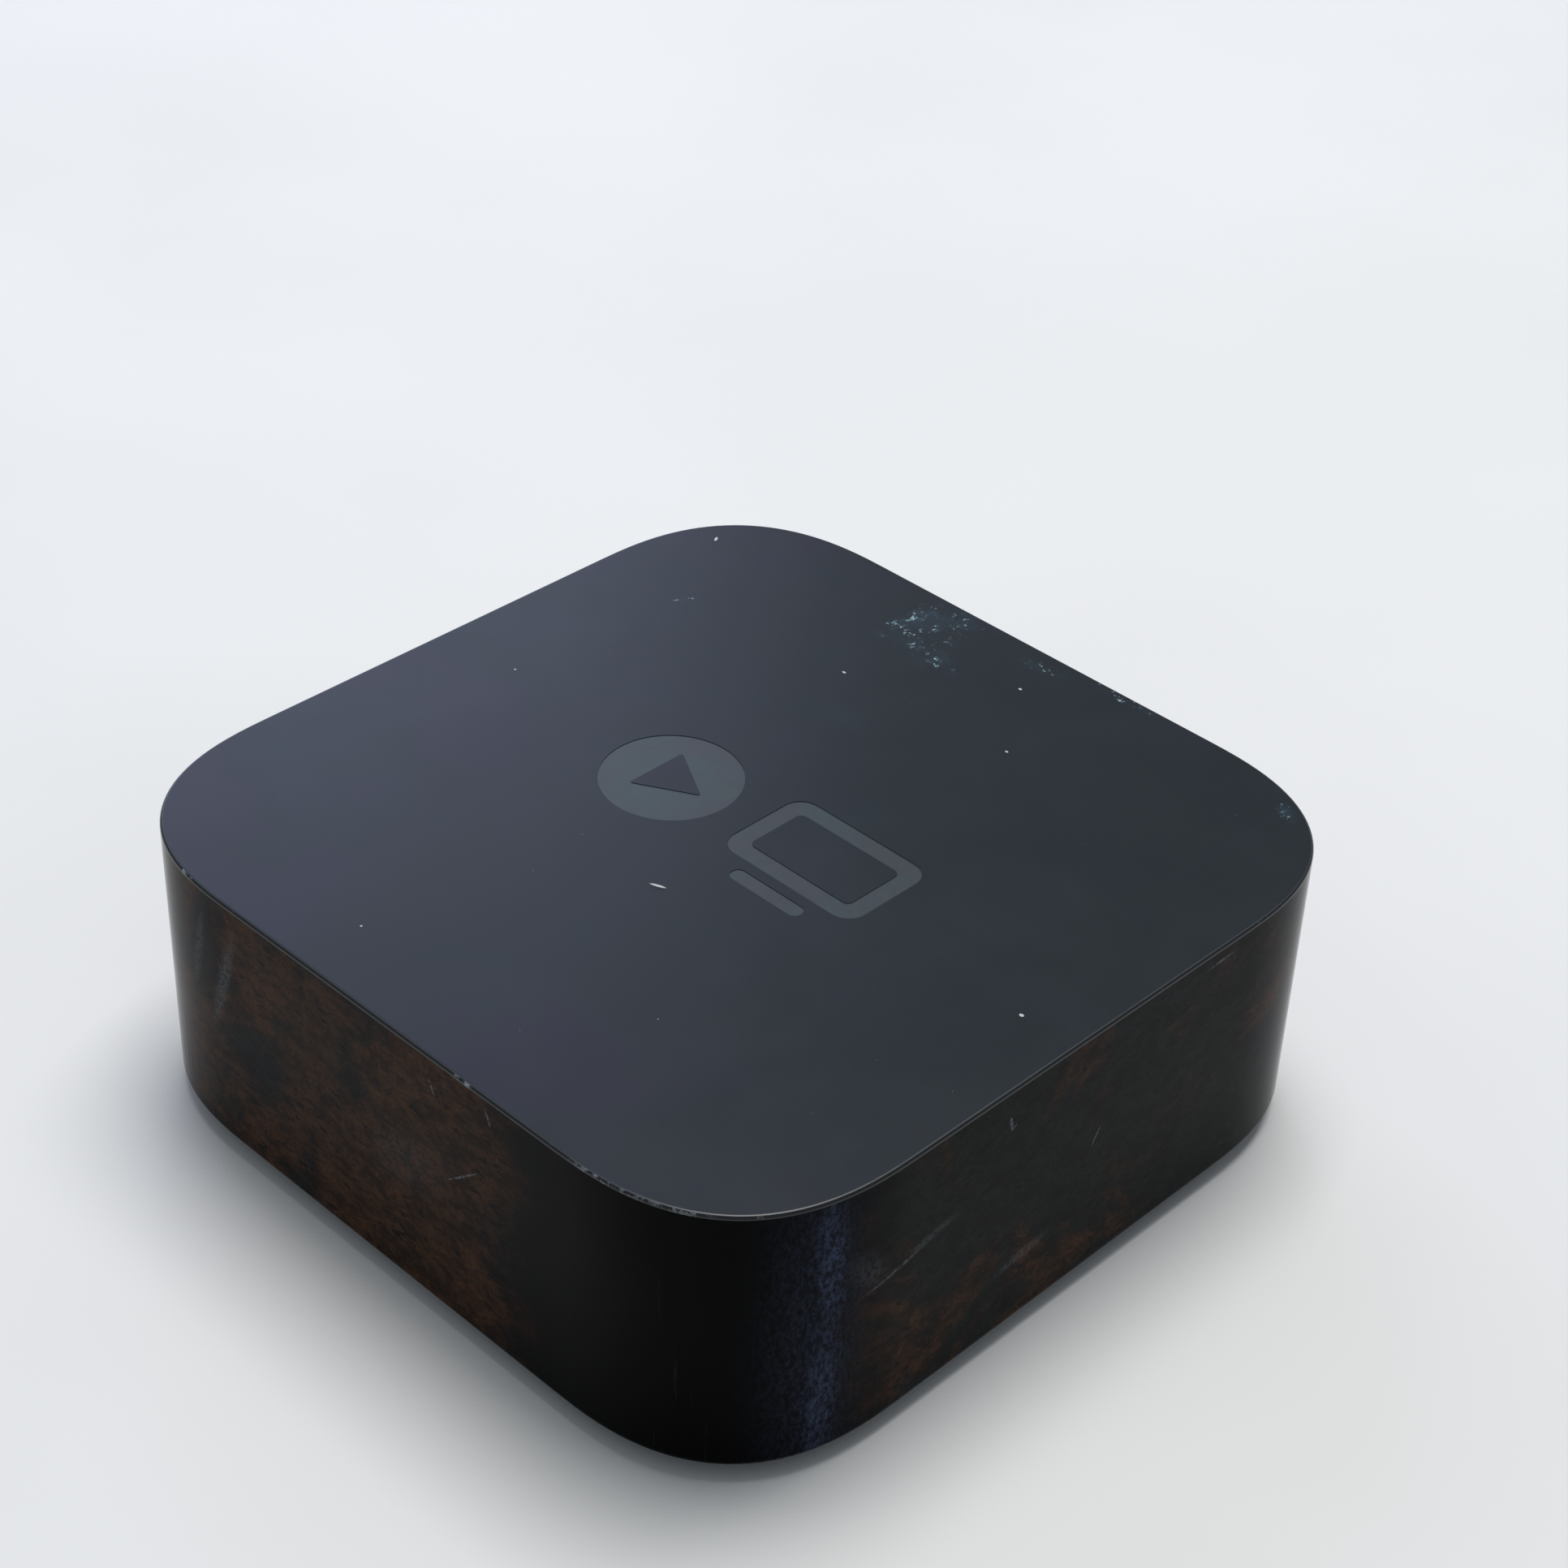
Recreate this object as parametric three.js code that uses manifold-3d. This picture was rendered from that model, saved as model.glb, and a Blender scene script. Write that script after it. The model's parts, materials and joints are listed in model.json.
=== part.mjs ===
// Streaming media player: a rounded-square set-top box. A one-piece case stands on a round foot and
// holds a mains supply, a logic board with its sockets, a finned heat sink and a flat fan.
// Units are millimetres. +Z is up, -Y is the front and +Y the rear wall with the sockets.
// The origin is the middle of the foot's underside.
import * as THREE from "three";
import { mergeVertices } from "three/addons/utils/BufferGeometryUtils.js";
import Module from "manifold-3d";

const wasm = await Module();
wasm.setup();

// ---------------------------------------------------------------- driving dimensions

// Case
const CASE_WIDTH = 98;
const CASE_HEIGHT = 35;
const CORNER_REACH = 24; // how far each corner's curve runs along a wall
const CORNER_POWER = 2.55; // 2 is a circle, and more is squarer
const CORNER_STEPS = 9;
const FOOT_LIFT = 2; // from the surface up to the lower edge of the walls
const WALL = 2.2;
const RIM_WALL = 1.5; // the wall's thickness round the base cover
const RIM_HEIGHT = 3; // how far up from the lower edge that thinner wall goes
const TOP_THICKNESS = 2;
const TOP_EDGE_RADIUS = 0.4;
const LOWER_EDGE_RADIUS = 1;
const MARK_DEPTH = 0.15;

// Base cover and foot
const FOOT_RADIUS = 38;
const FOOT_THICKNESS = 1.2;
const BASE_BOTTOM = 3;
const BASE_THICKNESS = 1.6;
const VENT_COUNT = 36;
const VENT_RADIUS = 42;
const VENT_LENGTH = 4.2;
const VENT_WIDTH = 2.4;
const HOOK_OFFSET = 18; // each wall has two hooks, this far either side of its middle
const HOOK_WIDTH = 7;

// Levels of the stack inside, from the surface up
const FAN_BOTTOM = 4.9;
const FIN_BOTTOM = 11.3;
const SINK_BOTTOM = 13.9;
const SINK_TOP = 15.5;
const PROCESSOR_BOTTOM = 15.9;
const BOARD_BOTTOM = 17.1;
const BOARD_THICKNESS = 1.2;
const BOARD_TOP = BOARD_BOTTOM + BOARD_THICKNESS;
const SUPPLY_BOTTOM = 21;
const SUPPLY_THICKNESS = 1.4;
const SUPPLY_TOP = SUPPLY_BOTTOM + SUPPLY_THICKNESS;
const SUPPLY_LID_BOTTOM = 32.1;
const CEILING = CASE_HEIGHT - TOP_THICKNESS;

// Places in plan
const BOARD_SCREWS = [[-35, -35], [35, -35], [41, 10], [-41, 10]];
const POWER_POSTS = [[-27, 19], [-25, -16]];
const SUPPLY_SCREWS = [[-31, -25], [31, -25]];
const NETWORK_X = -24;
const VIDEO_X = 0;
const MAINS_X = 24.5;

// Sockets
const SOCKET_FRONT = CASE_WIDTH / 2 - WALL - 0.1;
const PORT_CLEARANCE = 0.3;
const NETWORK_SHELL = { width: 16.2, height: 11.6, depth: 16, wall: 0.4 };
const NETWORK_MIDDLE = 15.6;
const VIDEO_SHELL = { width: 15, height: 5.6, depth: 11.5, wall: 0.35 };
const VIDEO_MIDDLE = BOARD_BOTTOM - VIDEO_SHELL.height / 2;
const MAINS_BODY = { width: 20.5, height: 10.8, depth: 17.5 };
const MAINS_MIDDLE = SUPPLY_BOTTOM - MAINS_BODY.height / 2;
const MAINS_SOCKET_DEPTH = 10;
const MAINS_PIN_SPACING = 8.6;
const MAINS_LOBE_RADIUS = 4.1;
const MAINS_WAIST = 5.6;
const MAINS_PIN_RADIUS = 1.18;

// Fan, in its own group, whose origin is the middle of the frame's underside
const FAN_RADIUS = 31.5;
const FAN_HEIGHT = 6.1;
const FAN_EARS = [30, 150, 270]; // degrees round the fan
const FAN_EAR_RADIUS = 35;
const FAN_CHANNEL = 90; // the spoke that carries the cable
const HUB_RADIUS = 11;
const BLADE_COUNT = 25;
const BLADE_TIP_RADIUS = 28.6;
const POLE_COUNT = 6;

// ---------------------------------------------------------------- materials

function finish(color, roughness, metalness = 0) {
  return new THREE.MeshStandardMaterial({ color, roughness, metalness });
}

const caseBlack = finish(0x16181b, 0.3);
const baseBlack = finish(0x1b1c1e, 0.6);
const rubber = finish(0x202122, 0.85);
const fanPlastic = finish(0x18191b, 0.5);
const steel = finish(0xb4b6b8, 0.35, 1);
const aluminium = finish(0xa9abad, 0.45, 1);
const brass = finish(0xc2a35a, 0.35, 1);
const bronze = finish(0x9a6a3c, 0.45, 1);
const copper = finish(0xb4683c, 0.35, 1);
const gold = finish(0xd0a44a, 0.3, 1);
const ferrite = finish(0x2c2d30, 0.6);
const boardGreen = finish(0x14331f, 0.45);
const supplyBoard = finish(0x1d4a30, 0.5);
const chipBlack = finish(0x111214, 0.5);
const socketBlack = finish(0x121213, 0.45);
const padGrey = finish(0x7d838b, 0.85);
const filmYellow = finish(0xc9a526, 0.55);
const sleeveBlue = finish(0x1b2638, 0.4);
const flexBrown = finish(0x6d4a20, 0.45);
const insulatorWhite = finish(0xd8d8d2, 0.5);
const clearPlastic = finish(0xe6e8ea, 0.2);

// ---------------------------------------------------------------- solids

const CENTRE = new THREE.Vector2(0, 0);
const radians = THREE.MathUtils.degToRad;

// A closed geometry as a manifold-3d solid.
function solid(geometry) {
  const bare = geometry.clone();
  bare.deleteAttribute("normal");
  bare.deleteAttribute("uv");
  const merged = mergeVertices(bare, 1e-4);
  const vertProperties = merged.attributes.position.array;
  const triVerts = new Uint32Array(merged.index.array);
  return new wasm.Manifold(new wasm.Mesh({ numProp: 3, vertProperties, triVerts }));
}

// A manifold-3d solid as a geometry.
function geometryOf(made) {
  const { vertProperties, triVerts } = made.getMesh();
  const geometry = new THREE.BufferGeometry();
  geometry.setAttribute("position", new THREE.BufferAttribute(vertProperties, 3));
  geometry.setIndex(new THREE.BufferAttribute(triVerts, 1));
  geometry.computeVertexNormals();
  return geometry;
}

function join(...solids) {
  return solids.reduce((all, next) => all.add(next));
}

function cut(body, ...tools) {
  return tools.reduce((left, tool) => left.subtract(tool), body);
}

// A flat outline drawn up from bottom to top.
function prismGeometry(outline, bottom, top, holes = []) {
  const shape = new THREE.Shape(outline);
  for (const hole of holes) shape.holes.push(new THREE.Path(hole));
  const made = new THREE.ExtrudeGeometry(shape, { depth: top - bottom, bevelEnabled: false });
  return made.translate(0, 0, bottom);
}

function prism(outline, bottom, top, holes = []) {
  return solid(prismGeometry(outline, bottom, top, holes));
}

// A prism whose outline is drawn on the rear wall, as X and height, and which runs along Y.
function rearPrism(outline, front, back) {
  const made = prismGeometry(outline, 0, back - front);
  return solid(made.rotateX(Math.PI / 2).translate(0, back, 0));
}

// A prism whose outline is drawn in the YZ plane and which runs along X, centred on x.
function sidePrism(outline, width, x) {
  const made = prismGeometry(outline, -width / 2, width / 2);
  return solid(made.rotateX(Math.PI / 2).rotateZ(Math.PI / 2).translate(x, 0, 0));
}

// A prism with rounded edges at both ends.
function softPrism(outline, bottom, top, radius, steps) {
  const shape = new THREE.Shape(outline);
  const made = new THREE.ExtrudeGeometry(shape, {
    depth: top - bottom - 2 * radius,
    bevelThickness: radius,
    bevelSize: radius,
    bevelOffset: -radius,
    bevelSegments: steps,
  });
  return solid(made.translate(0, 0, bottom + radius));
}

// A block centred on x and y, standing on bottom.
function block(width, depth, height, x = 0, y = 0, bottom = 0) {
  const made = new THREE.BoxGeometry(width, depth, height);
  return solid(made.translate(x, y, bottom + height / 2));
}

// An upright rod from bottom to top.
function rod(radius, bottom, top, x = 0, y = 0, segments = 24) {
  const made = new THREE.CylinderGeometry(radius, radius, top - bottom, segments);
  return solid(made.rotateX(Math.PI / 2).translate(x, y, (bottom + top) / 2));
}

// A rod along Y.
function rodAlongY(radius, front, back, x, z, segments = 20) {
  const made = new THREE.CylinderGeometry(radius, radius, back - front, segments);
  return solid(made.translate(x, (front + back) / 2, z));
}

function tube(outer, inner, bottom, top, x = 0, y = 0, segments = 24) {
  return cut(
    rod(outer, bottom, top, x, y, segments),
    rod(inner, bottom - 1, top + 1, x, y, segments),
  );
}

// A body turned about Z from its profile of [radius, height] pairs.
function turned(profile, segments) {
  const points = profile.map(([radius, height]) => new THREE.Vector2(radius, height));
  return solid(new THREE.LatheGeometry(points, segments).rotateX(Math.PI / 2));
}

// A block that lies along a spoke at an angle, from one radius to another.
function spoke(width, inner, outer, bottom, height, degrees) {
  const made = new THREE.BoxGeometry(outer - inner, width, height);
  made.translate((inner + outer) / 2, 0, bottom + height / 2);
  return solid(made.rotateZ(radians(degrees)));
}

function onCircle(radius, degrees) {
  return [radius * Math.cos(radians(degrees)), radius * Math.sin(radians(degrees))];
}

// The numbers 0 to count - 1.
function range(count) {
  return Array.from({ length: count }, (_, i) => i);
}

// ---------------------------------------------------------------- outlines

// The case's rounded square, drawn in from the outer wall by inset.
function caseOutline(inset, steps = CORNER_STEPS) {
  const half = CASE_WIDTH / 2 - inset;
  const reach = CORNER_REACH - inset;
  const points = [];
  for (const corner of range(4)) {
    for (const i of range(steps + 1)) {
      const angle = (i / steps) * (Math.PI / 2);
      const along = Math.cos(angle) ** (2 / CORNER_POWER);
      const across = Math.sin(angle) ** (2 / CORNER_POWER);
      const point = new THREE.Vector2(half - reach + reach * along, half - reach + reach * across);
      points.push(point.rotateAround(CENTRE, (corner * Math.PI) / 2));
    }
  }
  return points;
}

// A rectangle with round corners, centred on x and y.
function roundedRectangle(width, height, radius, x = 0, y = 0, steps = 4) {
  const points = [];
  const corners = [[1, 1], [-1, 1], [-1, -1], [1, -1]];
  corners.forEach(([right, up], corner) => {
    const middleX = x + right * (width / 2 - radius);
    const middleY = y + up * (height / 2 - radius);
    for (const i of range(steps + 1)) {
      const [dx, dy] = onCircle(radius, 90 * (corner + i / steps));
      points.push(new THREE.Vector2(middleX + dx, middleY + dy));
    }
  });
  return points;
}

function circle(radius, x = 0, y = 0, steps = 32) {
  return range(steps).map((i) => {
    const [dx, dy] = onCircle(radius, (360 * i) / steps);
    return new THREE.Vector2(x + dx, y + dy);
  });
}

// A slot with round ends that points away from the centre.
function ventSlot(degrees) {
  const radius = VENT_WIDTH / 2;
  const reach = VENT_LENGTH / 2 - radius;
  const points = [];
  for (const end of [1, -1]) {
    for (const i of range(3)) {
      const [dx, dy] = onCircle(radius, (end > 0 ? -90 : 90) + 90 * i);
      points.push(new THREE.Vector2(VENT_RADIUS + end * reach + dx, dy));
    }
  }
  return points.map((point) => point.rotateAround(CENTRE, radians(degrees)));
}

// The mark on the top: a disc with a play triangle cut out of it, and a screen on a stand.
function markSolids(bottom, top) {
  const disc = circle(8, -10.5, 0, 40);
  const triangle = [[-12.9, -4], [-5.9, 0], [-12.9, 4]].map(([x, y]) => new THREE.Vector2(x, y));
  const screen = roundedRectangle(19, 12.5, 2.4, 11, 1.6);
  const glass = roundedRectangle(14.4, 7.9, 0.8, 11, 1.6);
  const stand = roundedRectangle(10, 1.9, 0.9, 11, -7);
  return [
    prism(disc, bottom, top, [triangle]),
    prism(screen, bottom, top, [glass]),
    prism(stand, bottom, top),
  ];
}

// The network socket's opening: the plug's outline with the latch's two steps below it.
function networkOpening(grow = 0) {
  const steps = [[5.9, 3.9], [5.9, -2.9], [3.2, -2.9], [3.2, -4.3], [2.1, -4.3], [2.1, -5.1]];
  const right = steps.map(([x, z], i) => [x + grow, z + (i === 0 ? grow : -grow)]);
  const left = right.map(([x, z]) => [-x, z]).reverse();
  return [...right, ...left].map(([x, z]) => new THREE.Vector2(NETWORK_X + x, NETWORK_MIDDLE + z));
}

// The video socket's outline: a wide slot whose lower corners are cut away.
function videoOutline(inset) {
  const halfWidth = VIDEO_SHELL.width / 2 - inset;
  const halfHeight = VIDEO_SHELL.height / 2 - inset;
  const side = [[halfWidth, halfHeight], [halfWidth, -0.4], [halfWidth - 1.9, -halfHeight]];
  const mirrored = side.map(([x, z]) => [-x, z]).reverse();
  return [...side, ...mirrored].map(([x, z]) => new THREE.Vector2(VIDEO_X + x, VIDEO_MIDDLE + z));
}

// The mains socket's outline: two lobes joined at a waist, as one solid along Y.
function mainsHollow(grow, front, back) {
  const lobes = [-1, 1].map((side) => {
    const x = MAINS_X + (side * MAINS_PIN_SPACING) / 2;
    return rodAlongY(MAINS_LOBE_RADIUS + grow, front, back, x, MAINS_MIDDLE, 24);
  });
  const waist = block(
    MAINS_PIN_SPACING, back - front, MAINS_WAIST + 2 * grow,
    MAINS_X, (front + back) / 2, MAINS_MIDDLE - MAINS_WAIST / 2 - grow,
  );
  return join(...lobes, waist);
}

// ---------------------------------------------------------------- the assembly

const player = new THREE.Group();

// Adds one named piece to a group. The shape is a manifold-3d solid in the group's own frame.
function add(group, name, shape, material) {
  const mesh = new THREE.Mesh(geometryOf(shape), material);
  mesh.name = name;
  group.add(mesh);
  return mesh;
}

// ---------------------------------------------------------------- case

// A row of eight blocks, two on each wall, their outer faces at the given distance from the middle.
function wallBlocks(width, thickness, height, outerFace, bottom) {
  return range(4).flatMap((wall) =>
    [-HOOK_OFFSET, HOOK_OFFSET].map((along) => {
      const made = new THREE.BoxGeometry(width, thickness, height);
      made.translate(along, outerFace - thickness / 2, bottom + height / 2);
      return solid(made.rotateZ((wall * Math.PI) / 2));
    }),
  );
}

// Room in the rear wall's rounded corner for a socket's front.
function socketPocket(width, height, x, middle) {
  const grow = 2 * PORT_CLEARANCE;
  const tall = height + grow;
  return block(width + grow, 8, tall, x, SOCKET_FRONT + PORT_CLEARANCE - 4, middle - tall / 2);
}

function housing() {
  const lower = softPrism(caseOutline(0), FOOT_LIFT, 20, LOWER_EDGE_RADIUS, 3);
  const upper = softPrism(caseOutline(0), 10, CASE_HEIGHT, TOP_EDGE_RADIUS, 2);
  const cavity = prism(caseOutline(WALL), FOOT_LIFT + RIM_HEIGHT - 1, CEILING);
  const rim = prism(caseOutline(RIM_WALL), FOOT_LIFT - 1, FOOT_LIFT + RIM_HEIGHT);
  const shell = cut(join(lower, upper), cavity, rim);

  const innerFace = CASE_WIDTH / 2 - WALL;
  const ribs = wallBlocks(HOOK_WIDTH + 1, 1.6, 0.8, innerFace + 1, 7);
  const boardBosses = BOARD_SCREWS.map(([x, y]) => rod(3.2, BOARD_TOP, CEILING + 0.5, x, y, 20));
  const supplyBosses = SUPPLY_SCREWS.map(([x, y]) => rod(3, SUPPLY_TOP, CEILING + 0.5, x, y, 20));
  const boardHoles = BOARD_SCREWS.map(([x, y]) => rod(1.35, BOARD_TOP - 1, 27, x, y, 12));
  const supplyHoles = SUPPLY_SCREWS.map(([x, y]) => rod(1.3, SUPPLY_TOP - 1, 29, x, y, 12));

  const through = [SOCKET_FRONT - 1, CASE_WIDTH / 2 + 1];
  const ports = [
    rearPrism(networkOpening(PORT_CLEARANCE), ...through),
    rearPrism(videoOutline(-PORT_CLEARANCE / 2), ...through),
    mainsHollow(PORT_CLEARANCE, ...through),
  ];
  const pockets = [
    socketPocket(NETWORK_SHELL.width, NETWORK_SHELL.height, NETWORK_X, NETWORK_MIDDLE),
    socketPocket(MAINS_BODY.width, MAINS_BODY.height, MAINS_X, MAINS_MIDDLE),
  ];
  const mark = markSolids(CASE_HEIGHT - MARK_DEPTH, CASE_HEIGHT + 1);
  const filled = join(shell, ...ribs, ...boardBosses, ...supplyBosses);
  return cut(filled, ...boardHoles, ...supplyHoles, ...ports, ...pockets, ...mark);
}

function baseCover() {
  const vents = range(VENT_COUNT).map((i) => ventSlot((360 * i) / VENT_COUNT));
  const top = BASE_BOTTOM + BASE_THICKNESS;
  const plate = prism(caseOutline(RIM_WALL + 0.3), BASE_BOTTOM, top, vents);
  const seat = rod(FOOT_RADIUS + 0.6, FOOT_THICKNESS, BASE_BOTTOM + 0.5, 0, 0, 72);
  const hookFace = CASE_WIDTH / 2 - WALL - 0.9;
  const arms = wallBlocks(HOOK_WIDTH, 1.2, 4.9, hookFace, top - 0.5);
  const barbs = wallBlocks(HOOK_WIDTH, 1.2, 0.9, hookFace + 0.7, top + 3.5);
  return join(plate, seat, ...arms, ...barbs);
}

function footPad() {
  const edge = 0.35;
  const profile = [
    [0, 0],
    [FOOT_RADIUS - edge, 0],
    [FOOT_RADIUS, edge],
    [FOOT_RADIUS, FOOT_THICKNESS],
    [0, FOOT_THICKNESS],
  ];
  return turned(profile, 72);
}

// An antenna is a flexible strip on the inside of a side wall.
function antenna(side) {
  return block(0.4, 24, 7, side * (CASE_WIDTH / 2 - WALL - 0.5), -9, 20.5);
}

// A thin coaxial cable from an antenna to the wireless module, along the given points.
function coaxialCable(points) {
  const path = new THREE.CatmullRomCurve3(points.map((p) => new THREE.Vector3(...p)));
  const section = new THREE.Shape(circle(0.55, 0, 0, 6));
  return solid(new THREE.ExtrudeGeometry(section, { steps: 14, extrudePath: path }));
}

function buildCase() {
  const group = new THREE.Group();
  add(group, "housing", housing(), caseBlack);
  add(group, "base_cover", baseCover(), baseBlack);
  add(group, "foot_pad", footPad(), rubber);
  add(group, "antenna_left", antenna(-1), flexBrown);
  add(group, "antenna_right", antenna(1), flexBrown);
  const level = BOARD_TOP + 1.2;
  const left = [[-45.4, -14, 22], [-44.2, -23, 20.4], [-37, -29.2, level], [-27.3, -32, level]];
  const right = [
    [45.4, -14, 22], [43.6, -28, 20.4], [37, -39.9, level], [20, -41, level], [-8.7, -36, level],
  ];
  add(group, "antenna_cable_left", coaxialCable(left), chipBlack);
  add(group, "antenna_cable_right", coaxialCable(right), chipBlack);
  return group;
}

// ---------------------------------------------------------------- fan

function fanFrame() {
  const ring = turned(
    [
      [27.5, 0], [FAN_RADIUS, 0], [FAN_RADIUS, FAN_HEIGHT], [30, FAN_HEIGHT],
      [30, 0.8], [27.5, 0.8], [27.5, 0],
    ],
    44,
  );
  const floor = rod(10, 0, 0.8, 0, 0, 32);
  const bearingSeat = rod(3.5, 0.5, 4.2, 0, 0, 20);
  const spokes = [210, 330, FAN_CHANNEL].map((angle) => spoke(3.4, 8, 28.5, 0, 0.8, angle));
  const ears = FAN_EARS.map((angle) => {
    const [x, y] = onCircle(FAN_EAR_RADIUS, angle);
    const neck = spoke(5.6, 30.5, FAN_EAR_RADIUS, 3.6, FAN_HEIGHT - 3.6, angle);
    return join(rod(2.8, 3.6, FAN_HEIGHT, x, y, 18), neck);
  });
  const holes = FAN_EARS.map((angle) => rod(1.2, 0, 9, ...onCircle(FAN_EAR_RADIUS, angle), 12));
  const cableNotch = block(3, 4, 1.4, ...onCircle(30.7, FAN_CHANNEL), 0.75);
  const bearingBore = rod(2.5, 1, 9, 0, 0, 20);
  const body = join(ring, floor, bearingSeat, ...spokes, ...ears);
  return cut(body, ...holes, cableNotch, bearingBore);
}

// One blade's outline, which bends back as it goes out.
function bladeOutline() {
  const thickness = 0.7;
  const steps = 3;
  const inner = HUB_RADIUS - 0.4;
  const middle = range(steps + 1).map((i) => {
    const share = i / steps;
    const radius = inner + (BLADE_TIP_RADIUS - inner) * share;
    return onCircle(radius, -34 * share ** 1.3);
  });
  const sides = [-1, 1].map((side) =>
    middle.map(([x, y]) => {
      const length = Math.hypot(x, y);
      const shift = (side * thickness) / 2;
      return new THREE.Vector2(x - (y / length) * shift, y + (x / length) * shift);
    }),
  );
  return [...sides[0], ...sides[1].reverse()];
}

function fanRotor() {
  const wall = 0.8;
  const hub = turned(
    [
      [0, 4.4], [2.2, 4.4], [2.2, 5.1], [HUB_RADIUS - wall, 5.1], [HUB_RADIUS - wall, 1.7],
      [HUB_RADIUS, 1.7], [HUB_RADIUS, 5.6], [HUB_RADIUS - 0.3, 5.9], [0, 5.9],
    ],
    36,
  );
  const outline = bladeOutline();
  const blades = range(BLADE_COUNT).map((i) =>
    solid(prismGeometry(outline, 2.2, 5.5).rotateZ((i * 2 * Math.PI) / BLADE_COUNT)),
  );
  return cut(join(hub, ...blades), rod(1.05, 0, 9, 0, 0, 20));
}

function fanStator() {
  const poles = range(POLE_COUNT).map((i) => {
    const angle = (360 * i) / POLE_COUNT;
    const arm = spoke(1.6, 4.5, 7.9, 2.3, 1.8, angle);
    const shoe = spoke(5, 7.5, 8.1, 2.3, 1.8, angle);
    return join(arm, shoe);
  });
  return join(tube(5.1, 3.7, 2.3, 4.1), ...poles);
}

function fanWindings() {
  const coils = range(POLE_COUNT).map((i) => {
    const angle = (360 * i) / POLE_COUNT;
    const coil = spoke(3.4, 5.3, 7.3, 1.7, 3, angle);
    return cut(coil, spoke(1.8, 4, 9, 2.2, 2, angle));
  });
  return join(tube(5.9, 5.2, 1.7, 2.1), ...coils);
}

// A flat cable that lies on the spoke, leaves through the frame's notch and climbs to the board.
function fanCable() {
  const thickness = 0.3;
  const outer = FAN_RADIUS + 1.4;
  const low = 0.9;
  const high = BOARD_BOTTOM - FAN_BOTTOM - 2.3;
  const outline = [
    [10, low], [outer, low], [outer, high], [outer - thickness, high],
    [outer - thickness, low + thickness], [10, low + thickness],
  ].map(([y, z]) => new THREE.Vector2(y, z));
  return sidePrism(outline, 2.2, 0);
}

function screw(headRadius, headHeight, radius, length) {
  const head = rod(headRadius, -headHeight, 0, 0, 0, 14);
  const recess = rod(headRadius * 0.5, -headHeight - 1, -headHeight * 0.45, 0, 0, 6);
  return cut(join(head, rod(radius, -0.2, length, 0, 0, 10)), recess);
}

function addScrews(group, name, places, level, shape) {
  places.forEach(([x, y], i) => {
    add(group, `${name}_${i + 1}`, shape, steel).position.set(x, y, level);
  });
}

function buildFan() {
  const group = new THREE.Group();
  group.position.z = FAN_BOTTOM;
  add(group, "fan_frame", fanFrame(), fanPlastic);
  add(group, "fan_bearing", tube(2.4, 1.1, 1.1, 4, 0, 0, 20), bronze);
  add(group, "fan_circuit", tube(9.4, 3.7, 0.8, 1.2, 0, 0, 32), boardGreen);
  add(group, "fan_stator", fanStator(), steel);
  add(group, "fan_windings", fanWindings(), copper);
  add(group, "fan_rotor", fanRotor(), fanPlastic);
  add(group, "fan_magnet", tube(10.1, 8.7, 2, 4.9, 0, 0, 32), ferrite);
  add(group, "fan_shaft", rod(1, 1.2, 5.7, 0, 0, 20), steel);
  add(group, "fan_cable", fanCable(), flexBrown);
  const ears = FAN_EARS.map((angle) => onCircle(FAN_EAR_RADIUS, angle));
  addScrews(group, "fan_screw", ears, 3.6, screw(2, 0.9, 1, 5));
  return group;
}

// ---------------------------------------------------------------- heat sink

function heatSink() {
  const height = SINK_TOP - SINK_BOTTOM;
  const plate = prism(roundedRectangle(76, 59, 10, 0, -4.5, 4), SINK_BOTTOM, SINK_TOP);
  const fins = range(17).map((i) => {
    const x = 4.2 * (i - 8);
    const length = Math.abs(i - 8) > 6 ? 44 : 56;
    return block(1.1, length, SINK_BOTTOM - FIN_BOTTOM + 0.2, x, -4.5, FIN_BOTTOM);
  });
  const ears = BOARD_SCREWS.flatMap(([x, y]) => [
    rod(3.4, SINK_BOTTOM, SINK_TOP, x, y, 18),
    block(6, 6, height, x - Math.sign(x) * 3.2, y - Math.sign(y) * (y < 0 ? 3.2 : 0), SINK_BOTTOM),
    rod(2.4, SINK_TOP - 0.2, BOARD_BOTTOM, x, y, 16),
  ]);
  const fanPlaces = FAN_EARS.map((angle) => onCircle(FAN_EAR_RADIUS, angle));
  const fanPads = fanPlaces.map(([x, y]) => rod(3.4, SINK_BOTTOM, SINK_TOP, x, y, 18));
  const fanNecks = FAN_EARS.map((angle) => spoke(6.8, 20, FAN_EAR_RADIUS, SINK_BOTTOM, height, angle));
  const fanBosses = fanPlaces.map(([x, y]) =>
    rod(2.6, FAN_BOTTOM + FAN_HEIGHT, SINK_BOTTOM + 0.5, x, y, 16),
  );
  const holes = [
    ...BOARD_SCREWS.map(([x, y]) => rod(1.4, 5, 20, x, y, 12)),
    ...fanPlaces.map(([x, y]) => rod(1.1, 5, SINK_TOP - 0.5, x, y, 12)),
  ];
  const body = join(plate, ...fins, ...ears, ...fanPads, ...fanNecks, ...fanBosses);
  return cut(body, ...holes);
}

function buildCooling() {
  const group = new THREE.Group();
  add(group, "heat_sink", heatSink(), aluminium);
  const pad = block(15, 15, PROCESSOR_BOTTOM - SINK_TOP, 0, -6, SINK_TOP);
  add(group, "thermal_pad", pad, padGrey);
  addScrews(group, "board_screw", BOARD_SCREWS, SINK_BOTTOM, screw(2.2, 1.1, 1.2, 12.5));
  return group;
}

// ---------------------------------------------------------------- logic board

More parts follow.
